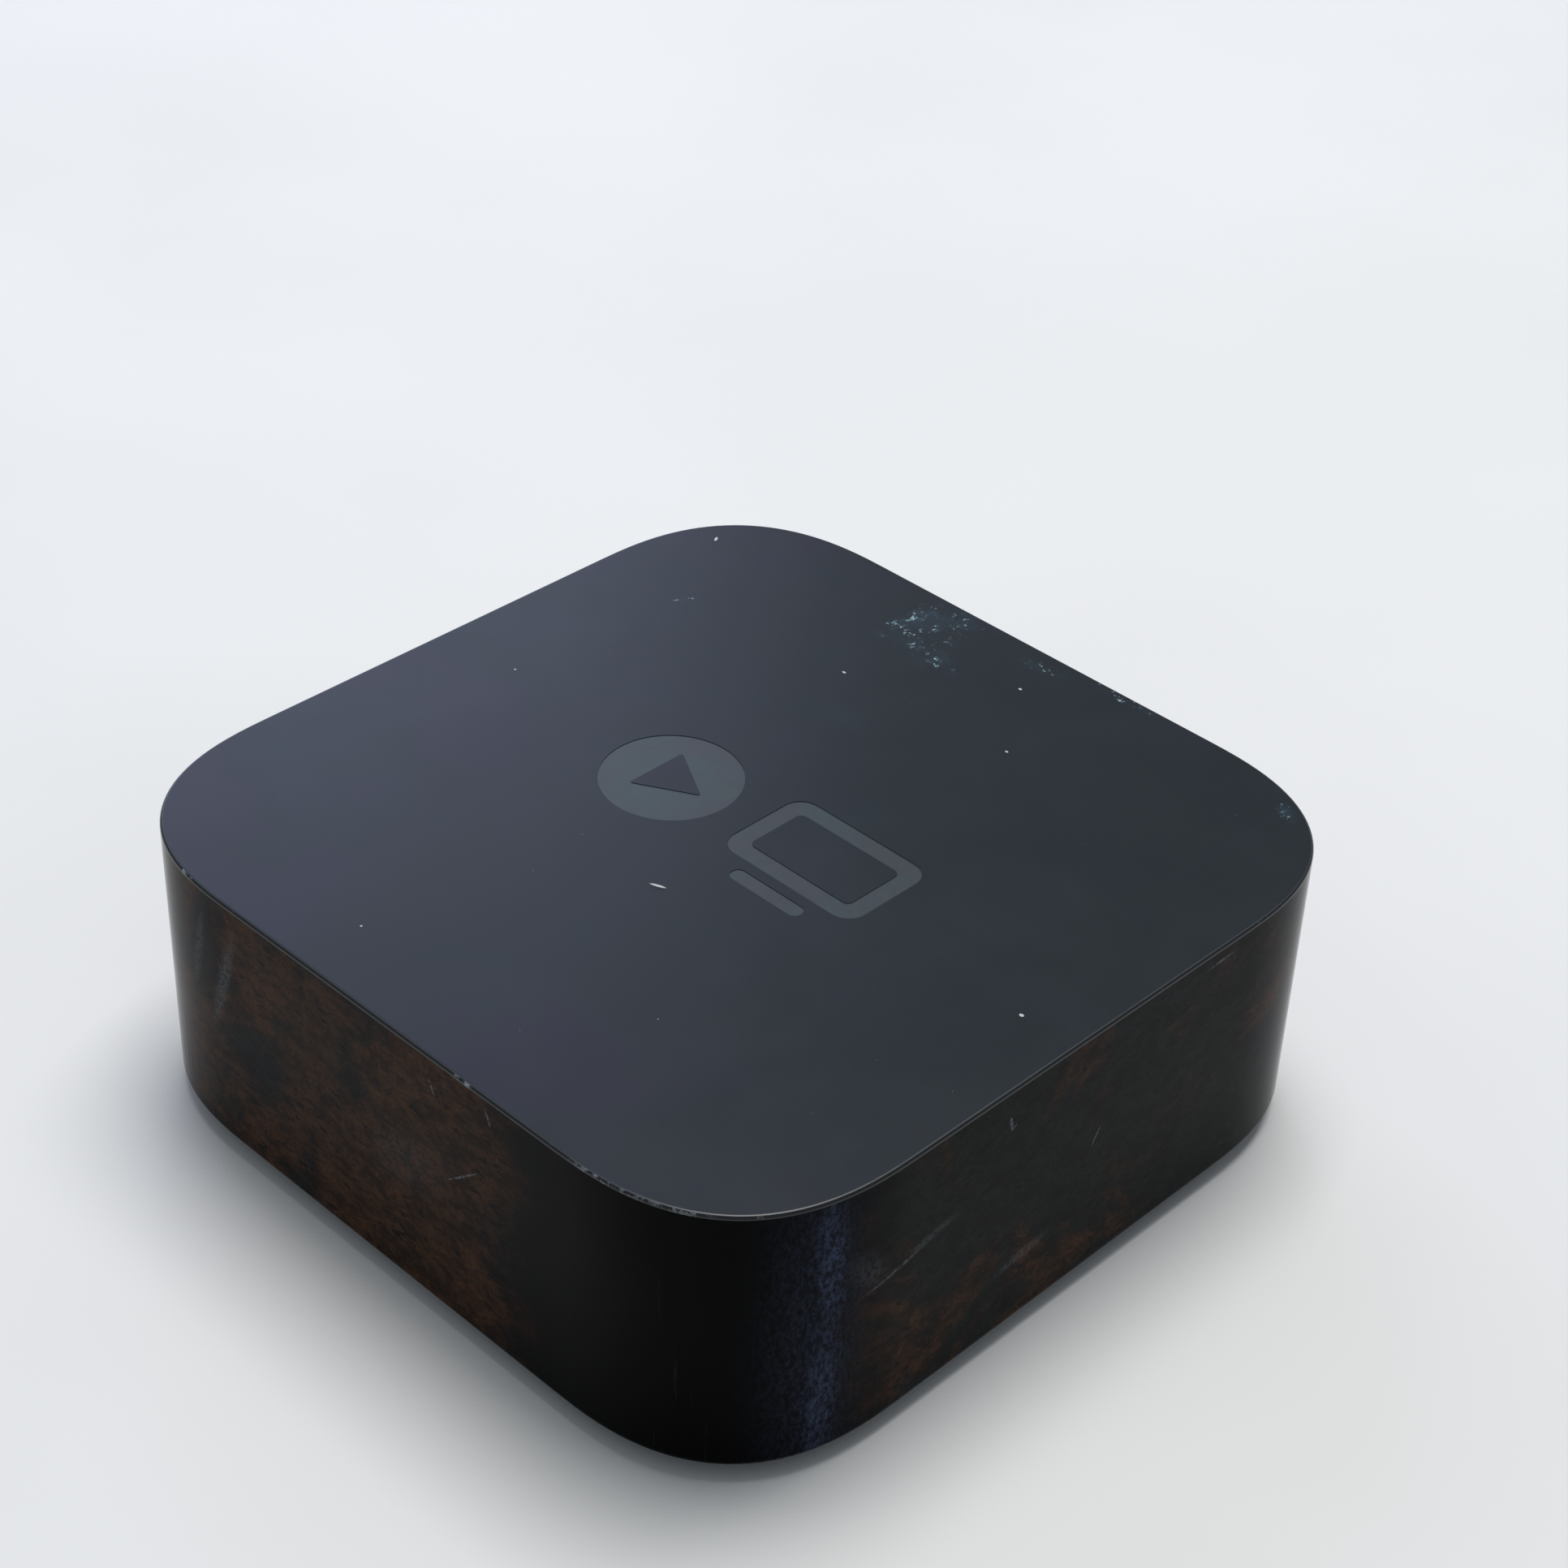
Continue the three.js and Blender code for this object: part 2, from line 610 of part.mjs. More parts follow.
function logicBoard() {
  const plate = prism(caseOutline(5, 6), BOARD_BOTTOM, BOARD_TOP);
  const notches = [
    block(NETWORK_SHELL.width + 0.8, 20, 6, NETWORK_X, 40, BOARD_BOTTOM - 2),
    block(MAINS_BODY.width + 1.6, 22, 6, MAINS_X, 39, BOARD_BOTTOM - 2),
  ];
  const holes = [...BOARD_SCREWS, ...POWER_POSTS].map(([x, y]) => rod(1.5, 10, 25, x, y, 12));
  return cut(plate, ...notches, ...holes);
}

// A pressed metal lid, open underneath.
function shieldCan(width, depth, height, x, y) {
  const wall = 0.3;
  const outer = prism(roundedRectangle(width, depth, 0.8, x, y, 2), BOARD_TOP, BOARD_TOP + height);
  const inside = block(width - 2 * wall, depth - 2 * wall, height, x, y, BOARD_TOP - wall);
  return cut(outer, inside);
}

// The chip transformer stands on two rows of pins.
function networkTransformer() {
  const x = -36;
  const y = 22;
  const body = block(9, 12, 1.9, x, y, BOARD_TOP + 0.3);
  const pins = range(4).flatMap((i) =>
    [-1, 1].map((side) => block(1.2, 0.9, 0.6, x + side * 4.8, y + 2.8 * (i - 1.5), BOARD_TOP)),
  );
  return join(body, ...pins);
}

// The receiver's case has a round lens on its front.
function infraredReceiver() {
  const body = block(5.2, 2.6, 4.4, -14, -42.2, BOARD_TOP);
  const lens = rodAlongY(1.7, -44.4, -43, -14, BOARD_TOP + 2.4, 16);
  return join(body, lens);
}

function buildBoard() {
  const group = new THREE.Group();
  add(group, "logic_board", logicBoard(), boardGreen);
  const underside = BOARD_BOTTOM - PROCESSOR_BOTTOM;
  add(group, "processor", block(16, 16, underside, 0, -6, PROCESSOR_BOTTOM), chipBlack);
  add(group, "processor_shield", shieldCan(34, 26, 1.8, 0, -6), steel);
  add(group, "storage_chip", block(11, 13, 1.1, 0, 18, BOARD_TOP), chipBlack);
  add(group, "wireless_module", shieldCan(17, 11, 1.9, -18, -34), steel);
  add(group, "network_transformer", networkTransformer(), chipBlack);
  add(group, "fan_connector", block(5, 3.4, 2.1, 0, 32.4, BOARD_BOTTOM - 2.1), insulatorWhite);
  add(group, "status_led", block(2.4, 1.4, 0.6, 14, -43.2, BOARD_TOP), clearPlastic);
  add(group, "infrared_receiver", infraredReceiver(), chipBlack);
  return group;
}

// ---------------------------------------------------------------- sockets

function networkShell() {
  const { width, height, depth, wall } = NETWORK_SHELL;
  const middle = SOCKET_FRONT - depth / 2;
  const outer = block(width, depth, height, NETWORK_X, middle, NETWORK_MIDDLE - height / 2);
  const inside = block(
    width - 2 * wall, depth, height - 2 * wall,
    NETWORK_X, middle + wall, NETWORK_MIDDLE - height / 2 + wall,
  );
  return cut(outer, inside);
}

function networkInsert() {
  const { width, height, depth, wall } = NETWORK_SHELL;
  const gap = wall + 0.1;
  const back = SOCKET_FRONT - depth + gap;
  const bottom = NETWORK_MIDDLE - height / 2 + gap;
  const length = SOCKET_FRONT - back;
  const body = block(
    width - 2 * gap, length, height - 2 * gap, NETWORK_X, (back + SOCKET_FRONT) / 2, bottom,
  );
  const opening = rearPrism(networkOpening(), SOCKET_FRONT - 12.5, SOCKET_FRONT + 1);
  const contactSlot = block(8.6, 3.6, 1.5, NETWORK_X, SOCKET_FRONT - 3.8, NETWORK_MIDDLE + 3.8);
  return cut(body, opening, contactSlot);
}

// Eight spring wires that slope down into the socket from a bar in its roof.
function networkContacts() {
  const roof = NETWORK_MIDDLE + 3.95;
  const front = SOCKET_FRONT - 4.6;
  const outline = [
    [front, roof], [front + 0.5, roof], [front - 5.4, roof - 2.4], [front - 5.8, roof - 2.2],
  ].map(([y, z]) => new THREE.Vector2(y, z + 0.3));
  const wires = range(8).map((i) => sidePrism(outline, 0.4, NETWORK_X + 1.02 * (i - 3.5)));
  const bar = block(8, 1.1, 0.7, NETWORK_X, front + 0.6, roof + 0.2);
  return join(bar, ...wires);
}

function videoShell() {
  const { depth, wall } = VIDEO_SHELL;
  const outer = rearPrism(videoOutline(0), SOCKET_FRONT - depth, SOCKET_FRONT);
  const inside = rearPrism(videoOutline(wall), SOCKET_FRONT - depth + wall, SOCKET_FRONT + 1);
  return cut(outer, inside);
}

function videoTongue() {
  const { depth, wall } = VIDEO_SHELL;
  const back = SOCKET_FRONT - depth + wall + 0.1;
  const root = rearPrism(videoOutline(wall + 0.12), back, back + 2.4);
  const tongue = block(11.4, 9, 1, VIDEO_X, back + 2 + 4.5, VIDEO_MIDDLE - 0.3);
  const contactSlot = block(11, 1.2, 3, VIDEO_X, back + 3.2, VIDEO_MIDDLE - 1.3);
  const webs = [-5.6, 5.6].map((x) => block(0.4, 1.4, 1, VIDEO_X + x, back + 3.2, VIDEO_MIDDLE - 0.3));
  return join(cut(join(root, tongue), contactSlot), ...webs);
}

// Ten strips above the tongue and nine below it, joined by a bar through the tongue's root.
function videoContacts() {
  const back = SOCKET_FRONT - VIDEO_SHELL.depth + VIDEO_SHELL.wall + 0.1;
  const thickness = 0.16;
  const top = VIDEO_MIDDLE + 0.7;
  const bottom = VIDEO_MIDDLE - 0.3;
  const strip = (x, level) => block(0.45, 7, thickness, VIDEO_X + x, back + 6.3, level);
  const bar = block(10.2, 0.8, top - bottom + 2 * thickness, VIDEO_X, back + 3.2, bottom - thickness);
  const upper = range(10).map((i) => strip(i - 4.5, top));
  const lower = range(9).map((i) => strip(i - 4, bottom - thickness));
  return join(bar, ...upper, ...lower);
}

function mainsInlet() {
  const { width, height, depth } = MAINS_BODY;
  const body = block(width, depth, height, MAINS_X, SOCKET_FRONT - depth / 2, MAINS_MIDDLE - height / 2);
  const hollow = mainsHollow(0, SOCKET_FRONT - MAINS_SOCKET_DEPTH, SOCKET_FRONT + 1);
  const pinHoles = [-1, 1].map((side) => {
    const x = MAINS_X + (side * MAINS_PIN_SPACING) / 2;
    return join(
      rodAlongY(MAINS_PIN_RADIUS + 0.15, SOCKET_FRONT - depth + 3.4, SOCKET_FRONT, x, MAINS_MIDDLE, 16),
      rod(1, MAINS_MIDDLE - 1.3, SUPPLY_BOTTOM + 1, x, SOCKET_FRONT - depth + 5, 12),
    );
  });
  return cut(body, hollow, ...pinHoles);
}

// A round pin along Y, with a leg at its rear end that climbs through the supply board.
function mainsPin(side) {
  const x = MAINS_X + (side * MAINS_PIN_SPACING) / 2;
  const back = SOCKET_FRONT - MAINS_BODY.depth + 4;
  const tip = SOCKET_FRONT - 1.2;
  const pin = rodAlongY(MAINS_PIN_RADIUS, back, tip - 1, x, MAINS_MIDDLE, 16);
  const nose = new THREE.CylinderGeometry(0.6, MAINS_PIN_RADIUS, 1.2, 16);
  const leg = rod(0.75, MAINS_MIDDLE, SUPPLY_TOP + 0.8, x, back + 1, 12);
  return join(pin, solid(nose.translate(x, tip - 0.4, MAINS_MIDDLE)), leg);
}

function buildSockets() {
  const group = new THREE.Group();
  add(group, "network_socket_shell", networkShell(), steel);
  add(group, "network_socket_insert", networkInsert(), socketBlack);
  add(group, "network_socket_contacts", networkContacts(), gold);
  add(group, "video_socket_shell", videoShell(), steel);
  add(group, "video_socket_tongue", videoTongue(), socketBlack);
  add(group, "video_socket_contacts", videoContacts(), gold);
  add(group, "mains_inlet", mainsInlet(), socketBlack);
  add(group, "mains_pin_left", mainsPin(-1), steel);
  add(group, "mains_pin_right", mainsPin(1), steel);
  return group;
}

// ---------------------------------------------------------------- power supply

// The supply board's outline: a main field, with a tongue over the mains inlet.
function supplyOutline(inset) {
  const left = -37 + inset;
  const right = 37 - inset;
  const front = -30 + inset;
  const shoulder = 25 - inset;
  const tongueLeft = 10 + inset;
  const back = 44 - inset;
  const corners = [
    [left, front], [right, front], [right, back],
    [tongueLeft, back], [tongueLeft, shoulder], [left, shoulder],
  ];
  return corners.map(([x, y]) => new THREE.Vector2(x, y));
}

function supplyBoardShape() {
  const plate = prism(supplyOutline(0), SUPPLY_BOTTOM, SUPPLY_TOP);
  const pinX = [-1, 1].map((side) => MAINS_X + (side * MAINS_PIN_SPACING) / 2);
  const holes = [
    ...[...POWER_POSTS, ...SUPPLY_SCREWS].map(([x, y]) => rod(1.35, 15, 25, x, y, 12)),
    ...pinX.map((x) => rod(1, 15, 25, x, SOCKET_FRONT - MAINS_BODY.depth + 5, 12)),
  ];
  return cut(plate, ...holes);
}

// A thin tray over the supply's parts, open towards the board, with holes for the case's bosses.
function supplyInsulator() {
  const wall = 0.4;
  const outer = prism(supplyOutline(0.1), SUPPLY_TOP + 0.3, SUPPLY_LID_BOTTOM + wall);
  const inside = prism(supplyOutline(0.1 + wall), SUPPLY_TOP - 1, SUPPLY_LID_BOTTOM);
  const holes = SUPPLY_SCREWS.map(([x, y]) => rod(3.4, 20, 35, x, y, 20));
  return cut(outer, inside, ...holes);
}

function lyingCapacitor(x, y) {
  const radius = 4.6;
  return rodAlongY(radius, y - 10, y + 10, x, SUPPLY_TOP + radius, 24);
}

// Two E-shaped halves with a window each side of the middle leg, lying flat.
function transformerCore(x, y) {
  const core = block(27, 20, 9, x, y, SUPPLY_TOP);
  const windows = [-1, 1].map((side) => block(5.6, 30, 6.2, x + side * 7.4, y, SUPPLY_TOP + 1.4));
  return cut(core, ...windows);
}

// The wound bobbin fills both windows and stands out at the core's ends.
function transformerWinding(x, y) {
  const coil = prism(roundedRectangle(19.8, 27, 2.5, x, y, 3), SUPPLY_TOP + 1.6, SUPPLY_TOP + 7.4);
  const legs = [-1, 0, 1].map((leg) => block(9.4, 20.4, 20, x + leg * 14.8, y, SUPPLY_TOP - 1));
  return cut(coil, ...legs);
}

// A wound drum between two flanges.
function filterChoke(x, y) {
  return join(
    rod(4.6, SUPPLY_TOP, SUPPLY_TOP + 1.2, x, y),
    rod(3.9, SUPPLY_TOP, SUPPLY_TOP + 8.4, x, y),
    rod(4.6, SUPPLY_TOP + 7.2, SUPPLY_TOP + 8.4, x, y),
  );
}

// A bent aluminium plate: an upright fin with a foot on the board.
function heatSpreader(x, y) {
  return join(block(1.4, 30, 8.4, x, y, SUPPLY_TOP), block(5.4, 30, 1.2, x - 2, y, SUPPLY_TOP));
}

// A round can with a groove near its foot.
function uprightCapacitor(x, y) {
  const profile = [[0, 0], [3.3, 0], [3.3, 1], [3, 1.3], [3, 1.6], [3.3, 1.9], [3.3, 8.2], [0, 8.2]];
  const points = profile.map(([radius, height]) => new THREE.Vector2(radius, height));
  const made = new THREE.LatheGeometry(points, 24).rotateX(Math.PI / 2);
  return solid(made.translate(x, y, SUPPLY_TOP));
}

function buildSupply() {
  const group = new THREE.Group();
  add(group, "supply_board", supplyBoardShape(), supplyBoard);
  add(group, "supply_insulator", supplyInsulator(), insulatorWhite);
  add(group, "transformer_core", transformerCore(-6, 8), ferrite);
  add(group, "transformer_winding", transformerWinding(-6, 8), filmYellow);
  add(group, "bulk_capacitor_1", lyingCapacitor(29, -7), sleeveBlue);
  add(group, "bulk_capacitor_2", lyingCapacitor(18.6, -7), sleeveBlue);
  add(group, "line_filter_capacitor", block(15, 6.4, 8.6, 27, 39, SUPPLY_TOP), filmYellow);
  add(group, "line_filter_choke", filterChoke(17, 26.5), copper);
  add(group, "fuse", block(4, 8.4, 7.6, 33.5, 27, SUPPLY_TOP), chipBlack);
  add(group, "supply_heat_spreader", heatSpreader(-30, 4), aluminium);
  add(group, "output_capacitor", uprightCapacitor(-12, -18), sleeveBlue);
  POWER_POSTS.forEach(([x, y], i) => {
    add(group, `power_post_${i + 1}`, tube(2.5, 1.3, BOARD_TOP, SUPPLY_BOTTOM, x, y, 20), brass);
  });
  addScrews(group, "power_screw", POWER_POSTS, BOARD_BOTTOM, screw(2, 0.9, 1.1, 5.1));
  addScrews(group, "supply_screw", SUPPLY_SCREWS, SUPPLY_BOTTOM, screw(2.2, 1.1, 1.1, 7));
  return group;
}

player.add(buildCase(), buildFan(), buildCooling(), buildBoard(), buildSockets(), buildSupply());

export default player;
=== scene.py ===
import json
import math

import bmesh
import bpy
from mathutils import Matrix, Vector


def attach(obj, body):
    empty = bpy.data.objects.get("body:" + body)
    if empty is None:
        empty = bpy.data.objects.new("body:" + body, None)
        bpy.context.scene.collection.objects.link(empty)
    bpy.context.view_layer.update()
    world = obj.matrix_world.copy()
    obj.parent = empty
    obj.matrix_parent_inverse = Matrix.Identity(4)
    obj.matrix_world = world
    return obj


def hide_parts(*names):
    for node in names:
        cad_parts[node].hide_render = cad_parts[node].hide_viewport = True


# The streaming media player's looks: a gloss black case with a satin top on a round rubber foot.
# Sizes are in millimetres until a mesh is made, and everything stands where the frame's nodes are.

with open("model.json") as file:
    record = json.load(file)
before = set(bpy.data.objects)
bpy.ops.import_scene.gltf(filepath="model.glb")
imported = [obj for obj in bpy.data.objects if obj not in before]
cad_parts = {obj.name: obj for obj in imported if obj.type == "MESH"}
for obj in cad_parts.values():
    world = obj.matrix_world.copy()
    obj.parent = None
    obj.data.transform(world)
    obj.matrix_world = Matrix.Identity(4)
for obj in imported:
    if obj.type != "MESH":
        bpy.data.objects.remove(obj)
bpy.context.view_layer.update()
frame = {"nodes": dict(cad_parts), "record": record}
MM = 0.001
SAME_PLACE = 1e-7      # metres
ENDLESS = 1e6          # millimetres, far past the object

# ---------------- sizes shared with the frame

HALF = 49.0            # half the case's width
REACH = 24.0           # how far a corner's curve runs along each wall
POWER = 2.55           # a corner's superellipse: 2 is a circle, more is squarer
CORNER_STEPS = 30
TOP = 35.0
LIFT = 2.0             # the gap under the walls
WALL = 2.2
RIM_WALL = 1.5         # the wall's thickness where the base cover fits in it
RIM_TOP = LIFT + 3.0
CEILING = 33.0
TOP_RADIUS = 0.4
BOTTOM_RADIUS = 1.0
MARK_DEPTH = 0.07
POCKET_DEPTH = 8.0

FOOT_RADIUS = 38.0
FOOT_HEIGHT = 1.2
FOOT_EDGE = 0.35
BASE_BOTTOM = 3.0
BASE_TOP = 4.6
VENT_COUNT = 36
VENT_RADIUS = 42.0
CLIP_OFFSETS = (-18, 18)   # the snap hooks' places along each wall

FACE = 46.7            # the sockets' fronts, on +Y
NETWORK = (-24.0, 15.6)
VIDEO = (0.0, 14.3)
MAINS = (24.5, 15.6)
JACK_SIZE = (15.2, 15.5, 10.6)
INLET_SIZE = (20.5, 17.5, 10.8)
WIRE_COUNT = 8
WIRE_PITCH = 1.02
WIRE_RADIUS = 0.19
PIN_OFFSET = 4.3       # from the mains inlet's middle to each pin
PIN_RADIUS = 1.18
PIN_LEG_Y = FACE - 12.5
VIDEO_BACK = FACE - 11.5
VIDEO_ROOT = VIDEO_BACK + 0.45     # where the tongue starts
LOBE_RADIUS = 4.1
LOBE_WAIST = 2.8

# ---------------- outlines


def turned(x, y, turn):
    """A point turned about the middle by an angle in radians."""
    return (x * math.cos(turn) - y * math.sin(turn), x * math.sin(turn) + y * math.cos(turn))


def corner_curve(inset, steps):
    """The case's rounded square in plan, drawn in from the outer wall by inset."""
    half, reach = HALF - inset, REACH - inset
    points = []
    for corner in range(4):
        turn = corner * math.pi / 2
        for i in range(steps + 1):
            angle = i / steps * math.pi / 2
            x = half - reach + reach * math.cos(angle) ** (2 / POWER)
            y = half - reach + reach * math.sin(angle) ** (2 / POWER)
            points.append(turned(x, y, turn))
    return points


def rounded(width, height, radius, x, y, steps):
    """A rectangle with round corners, anticlockwise."""
    points = []
    for corner, (sx, sy) in enumerate(((1, 1), (-1, 1), (-1, -1), (1, -1))):
        cx, cy = x + sx * (width / 2 - radius), y + sy * (height / 2 - radius)
        for i in range(steps + 1):
            angle = math.pi / 2 * (corner + i / steps)
            points.append((cx + radius * math.cos(angle), cy + radius * math.sin(angle)))
    return points


def circle(radius, x, y, steps):
    turns = [2 * math.pi * i / steps for i in range(steps)]
    return [(x + radius * math.cos(turn), y + radius * math.sin(turn)) for turn in turns]


def softened(corners, radius, steps):
    """A polygon, anticlockwise, with each corner rounded by a quadratic curve that starts radius away."""
    points = []
    count = len(corners)
    for i, corner in enumerate(corners):
        here = Vector(corner)
        before = (Vector(corners[i - 1]) - here).normalized() * radius
        after = (Vector(corners[(i + 1) % count]) - here).normalized() * radius
        for k in range(steps + 1):
            t = k / steps
            p = here + before * (1 - t) ** 2 + after * t ** 2
            points.append((p.x, p.y))
    return points


def network_outline(grow=0.0):
    """The network jack's opening: the plug's outline with the latch's two steps below it."""
    side = [
        (5.9 + grow, 3.9 + grow), (5.9 + grow, -2.9 - grow), (3.2 + grow, -2.9 - grow),
        (3.2 + grow, -4.3 - grow), (2.1 + grow, -4.3 - grow), (2.1 + grow, -5.1 - grow),
    ]
    corners = list(reversed(side)) + [(-x, z) for x, z in side]
    return [(NETWORK[0] + x, NETWORK[1] + z) for x, z in softened(corners, 0.22, 2)]


def video_outline(inset, radius=0.9):
    """The digital video socket: a wide slot whose lower corners are cut away."""
    w, h = 7.5 - inset, 2.8 - inset
    corners = [(-w + 1.9, -h), (w - 1.9, -h), (w, -0.4), (w, h), (-w, h), (-w, -0.4)]
    return [(VIDEO[0] + x, VIDEO[1] + z) for x, z in softened(corners, radius, 4)]


def mains_outline(grow=0.0):
    """Two lobes joined by a waist."""
    radius, offset, waist = LOBE_RADIUS + grow, PIN_OFFSET, LOBE_WAIST + grow
    steps = 22
    start = math.asin(waist / radius)
    points = []
    for side in (1, -1):
        for i in range(steps + 1):
            angle = (math.pi - start) * (2 * i / steps - 1)
            points.append((side * (offset + radius * math.cos(angle)), side * radius * math.sin(angle)))
    return [(MAINS[0] + x, MAINS[1] + z) for x, z in points]


# ---------------- meshes


def link(name, bm):
    """Makes an object from a bmesh in millimetres."""
    bmesh.ops.recalc_face_normals(bm, faces=bm.faces)
    bmesh.ops.scale(bm, vec=(MM, MM, MM), verts=bm.verts)
    mesh = bpy.data.meshes.new(name)
    bm.to_mesh(mesh)
    bm.free()
    obj = bpy.data.objects.new(name, mesh)
    bpy.context.scene.collection.objects.link(obj)
    return obj


def loft(rings, bm=None):
    """A closed skin through rings with equal counts of (x, y, z), its ends capped."""
    bm = bm or bmesh.new()
    rows = [[bm.verts.new(p) for p in ring] for ring in rings]
    count = len(rings[0])
    for low, high in zip(rows, rows[1:]):
        for i in range(count):
            k = (i + 1) % count
            bm.faces.new((low[i], low[k], high[k], high[i]))
    bm.faces.new(list(reversed(rows[0])))
    bm.faces.new(rows[-1])
    return bm


def upright(layers, bm=None):
    """A loft whose layers are (outline, height)."""
    return loft([[(x, y, z) for x, y in outline] for outline, z in layers], bm)


def rearward(layers):
    """A loft whose outlines are (x, z) and whose layers run along Y."""
    return loft([[(x, y, z) for x, z in reversed(outline)] for outline, y in layers])


def lathe(profile, segments, x=0.0, y=0.0):
    """A body turned about an upright axis from (radius, height) pairs, its ends on the axis."""
    bm = bmesh.new()
    rows = []
    for radius, z in profile:
        ring = circle(radius, x, y, segments) if radius > 0 else [(x, y)]
        rows.append([bm.verts.new((px, py, z)) for px, py in ring])
    for low, high in zip(rows, rows[1:]):
        for i in range(segments):
            k = (i + 1) % segments
            ring = [low[i % len(low)], low[k % len(low)], high[k % len(high)], high[i % len(high)]]
            unique = list(dict.fromkeys(ring))
            if len(unique) > 2:
                bm.faces.new(unique)
    return bm


def box(size, centre, bm=None, soft=0.0):
    """A block, with its edges rounded by soft."""
    bm = bm or bmesh.new()
    made = bmesh.ops.create_cube(bm, size=1.0)["verts"]
    bmesh.ops.scale(bm, vec=size, verts=made)
    bmesh.ops.translate(bm, vec=centre, verts=made)
    if soft:
        edges = list({e for v in made for e in v.link_edges})
        bmesh.ops.bevel(bm, geom=edges, offset=soft, segments=2, profile=0.5, affect="EDGES")
    return bm


def sweep(points, radius, sides, bm):
    """A round wire along points."""
    path = [Vector(p) for p in points]
    rings = []
    side = None
    for i, p in enumerate(path):
        ahead = (path[min(i + 1, len(path) - 1)] - path[max(i - 1, 0)]).normalized()
        if side is None:
            side = ahead.orthogonal().normalized() if abs(ahead.x) > 0.9 else Vector((1, 0, 0))
        side = (side - ahead * side.dot(ahead)).normalized()
        up = ahead.cross(side)
        rings.append([
            tuple(p + side * radius * math.cos(a) + up * radius * math.sin(a))
            for a in (2 * math.pi * k / sides for k in range(sides))
        ])
    return loft(rings, bm)


def evaluated(obj):
    """Applies an object's modifiers."""
    graph = bpy.context.evaluated_depsgraph_get()
    mesh = bpy.data.meshes.new_from_object(obj.evaluated_get(graph))
    obj.modifiers.clear()
    obj.data = mesh
    return obj


def combine(obj, others, operation="DIFFERENCE"):
    """Cuts the other objects from obj, or joins them to it, and removes them."""
    for other in others:
        modifier = obj.modifiers.new("boolean", "BOOLEAN")
        modifier.operation = operation
        modifier.solver = "EXACT"
        modifier.object = other
    evaluated(obj)
    for other in others:
        bpy.data.objects.remove(other)
    return obj


def smooth(obj, degrees):
    """Shades an object smooth, with edges sharper than degrees left crisp."""
    bm = bmesh.new()
    bm.from_mesh(obj.data)
    bmesh.ops.remove_doubles(bm, verts=bm.verts, dist=SAME_PLACE)
    bmesh.ops.dissolve_degenerate(bm, edges=bm.edges, dist=SAME_PLACE)
    for face in bm.faces:
        face.smooth = True
    for edge in bm.edges:
        edge.smooth = len(edge.link_faces) == 2 and edge.calc_face_angle(0.0) < math.radians(degrees)
    bm.to_mesh(obj.data)
    bm.free()
    modifier = obj.modifiers.new("normals", "WEIGHTED_NORMAL")
    modifier.keep_sharp = True
    modifier.weight = 80
    return obj


def dress(obj, *materials):
    """Gives a new piece its materials."""
    obj.data.materials.clear()
    for material in materials:
        obj.data.materials.append(material)


def place(obj, slot, *nodes, body="case"):
    """Hangs a piece under the body it moves with and hides the nodes it stands in for. The slot is not used.
    """
    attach(obj, body)
    if nodes:
        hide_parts(*nodes)


# ---------------- material nodes


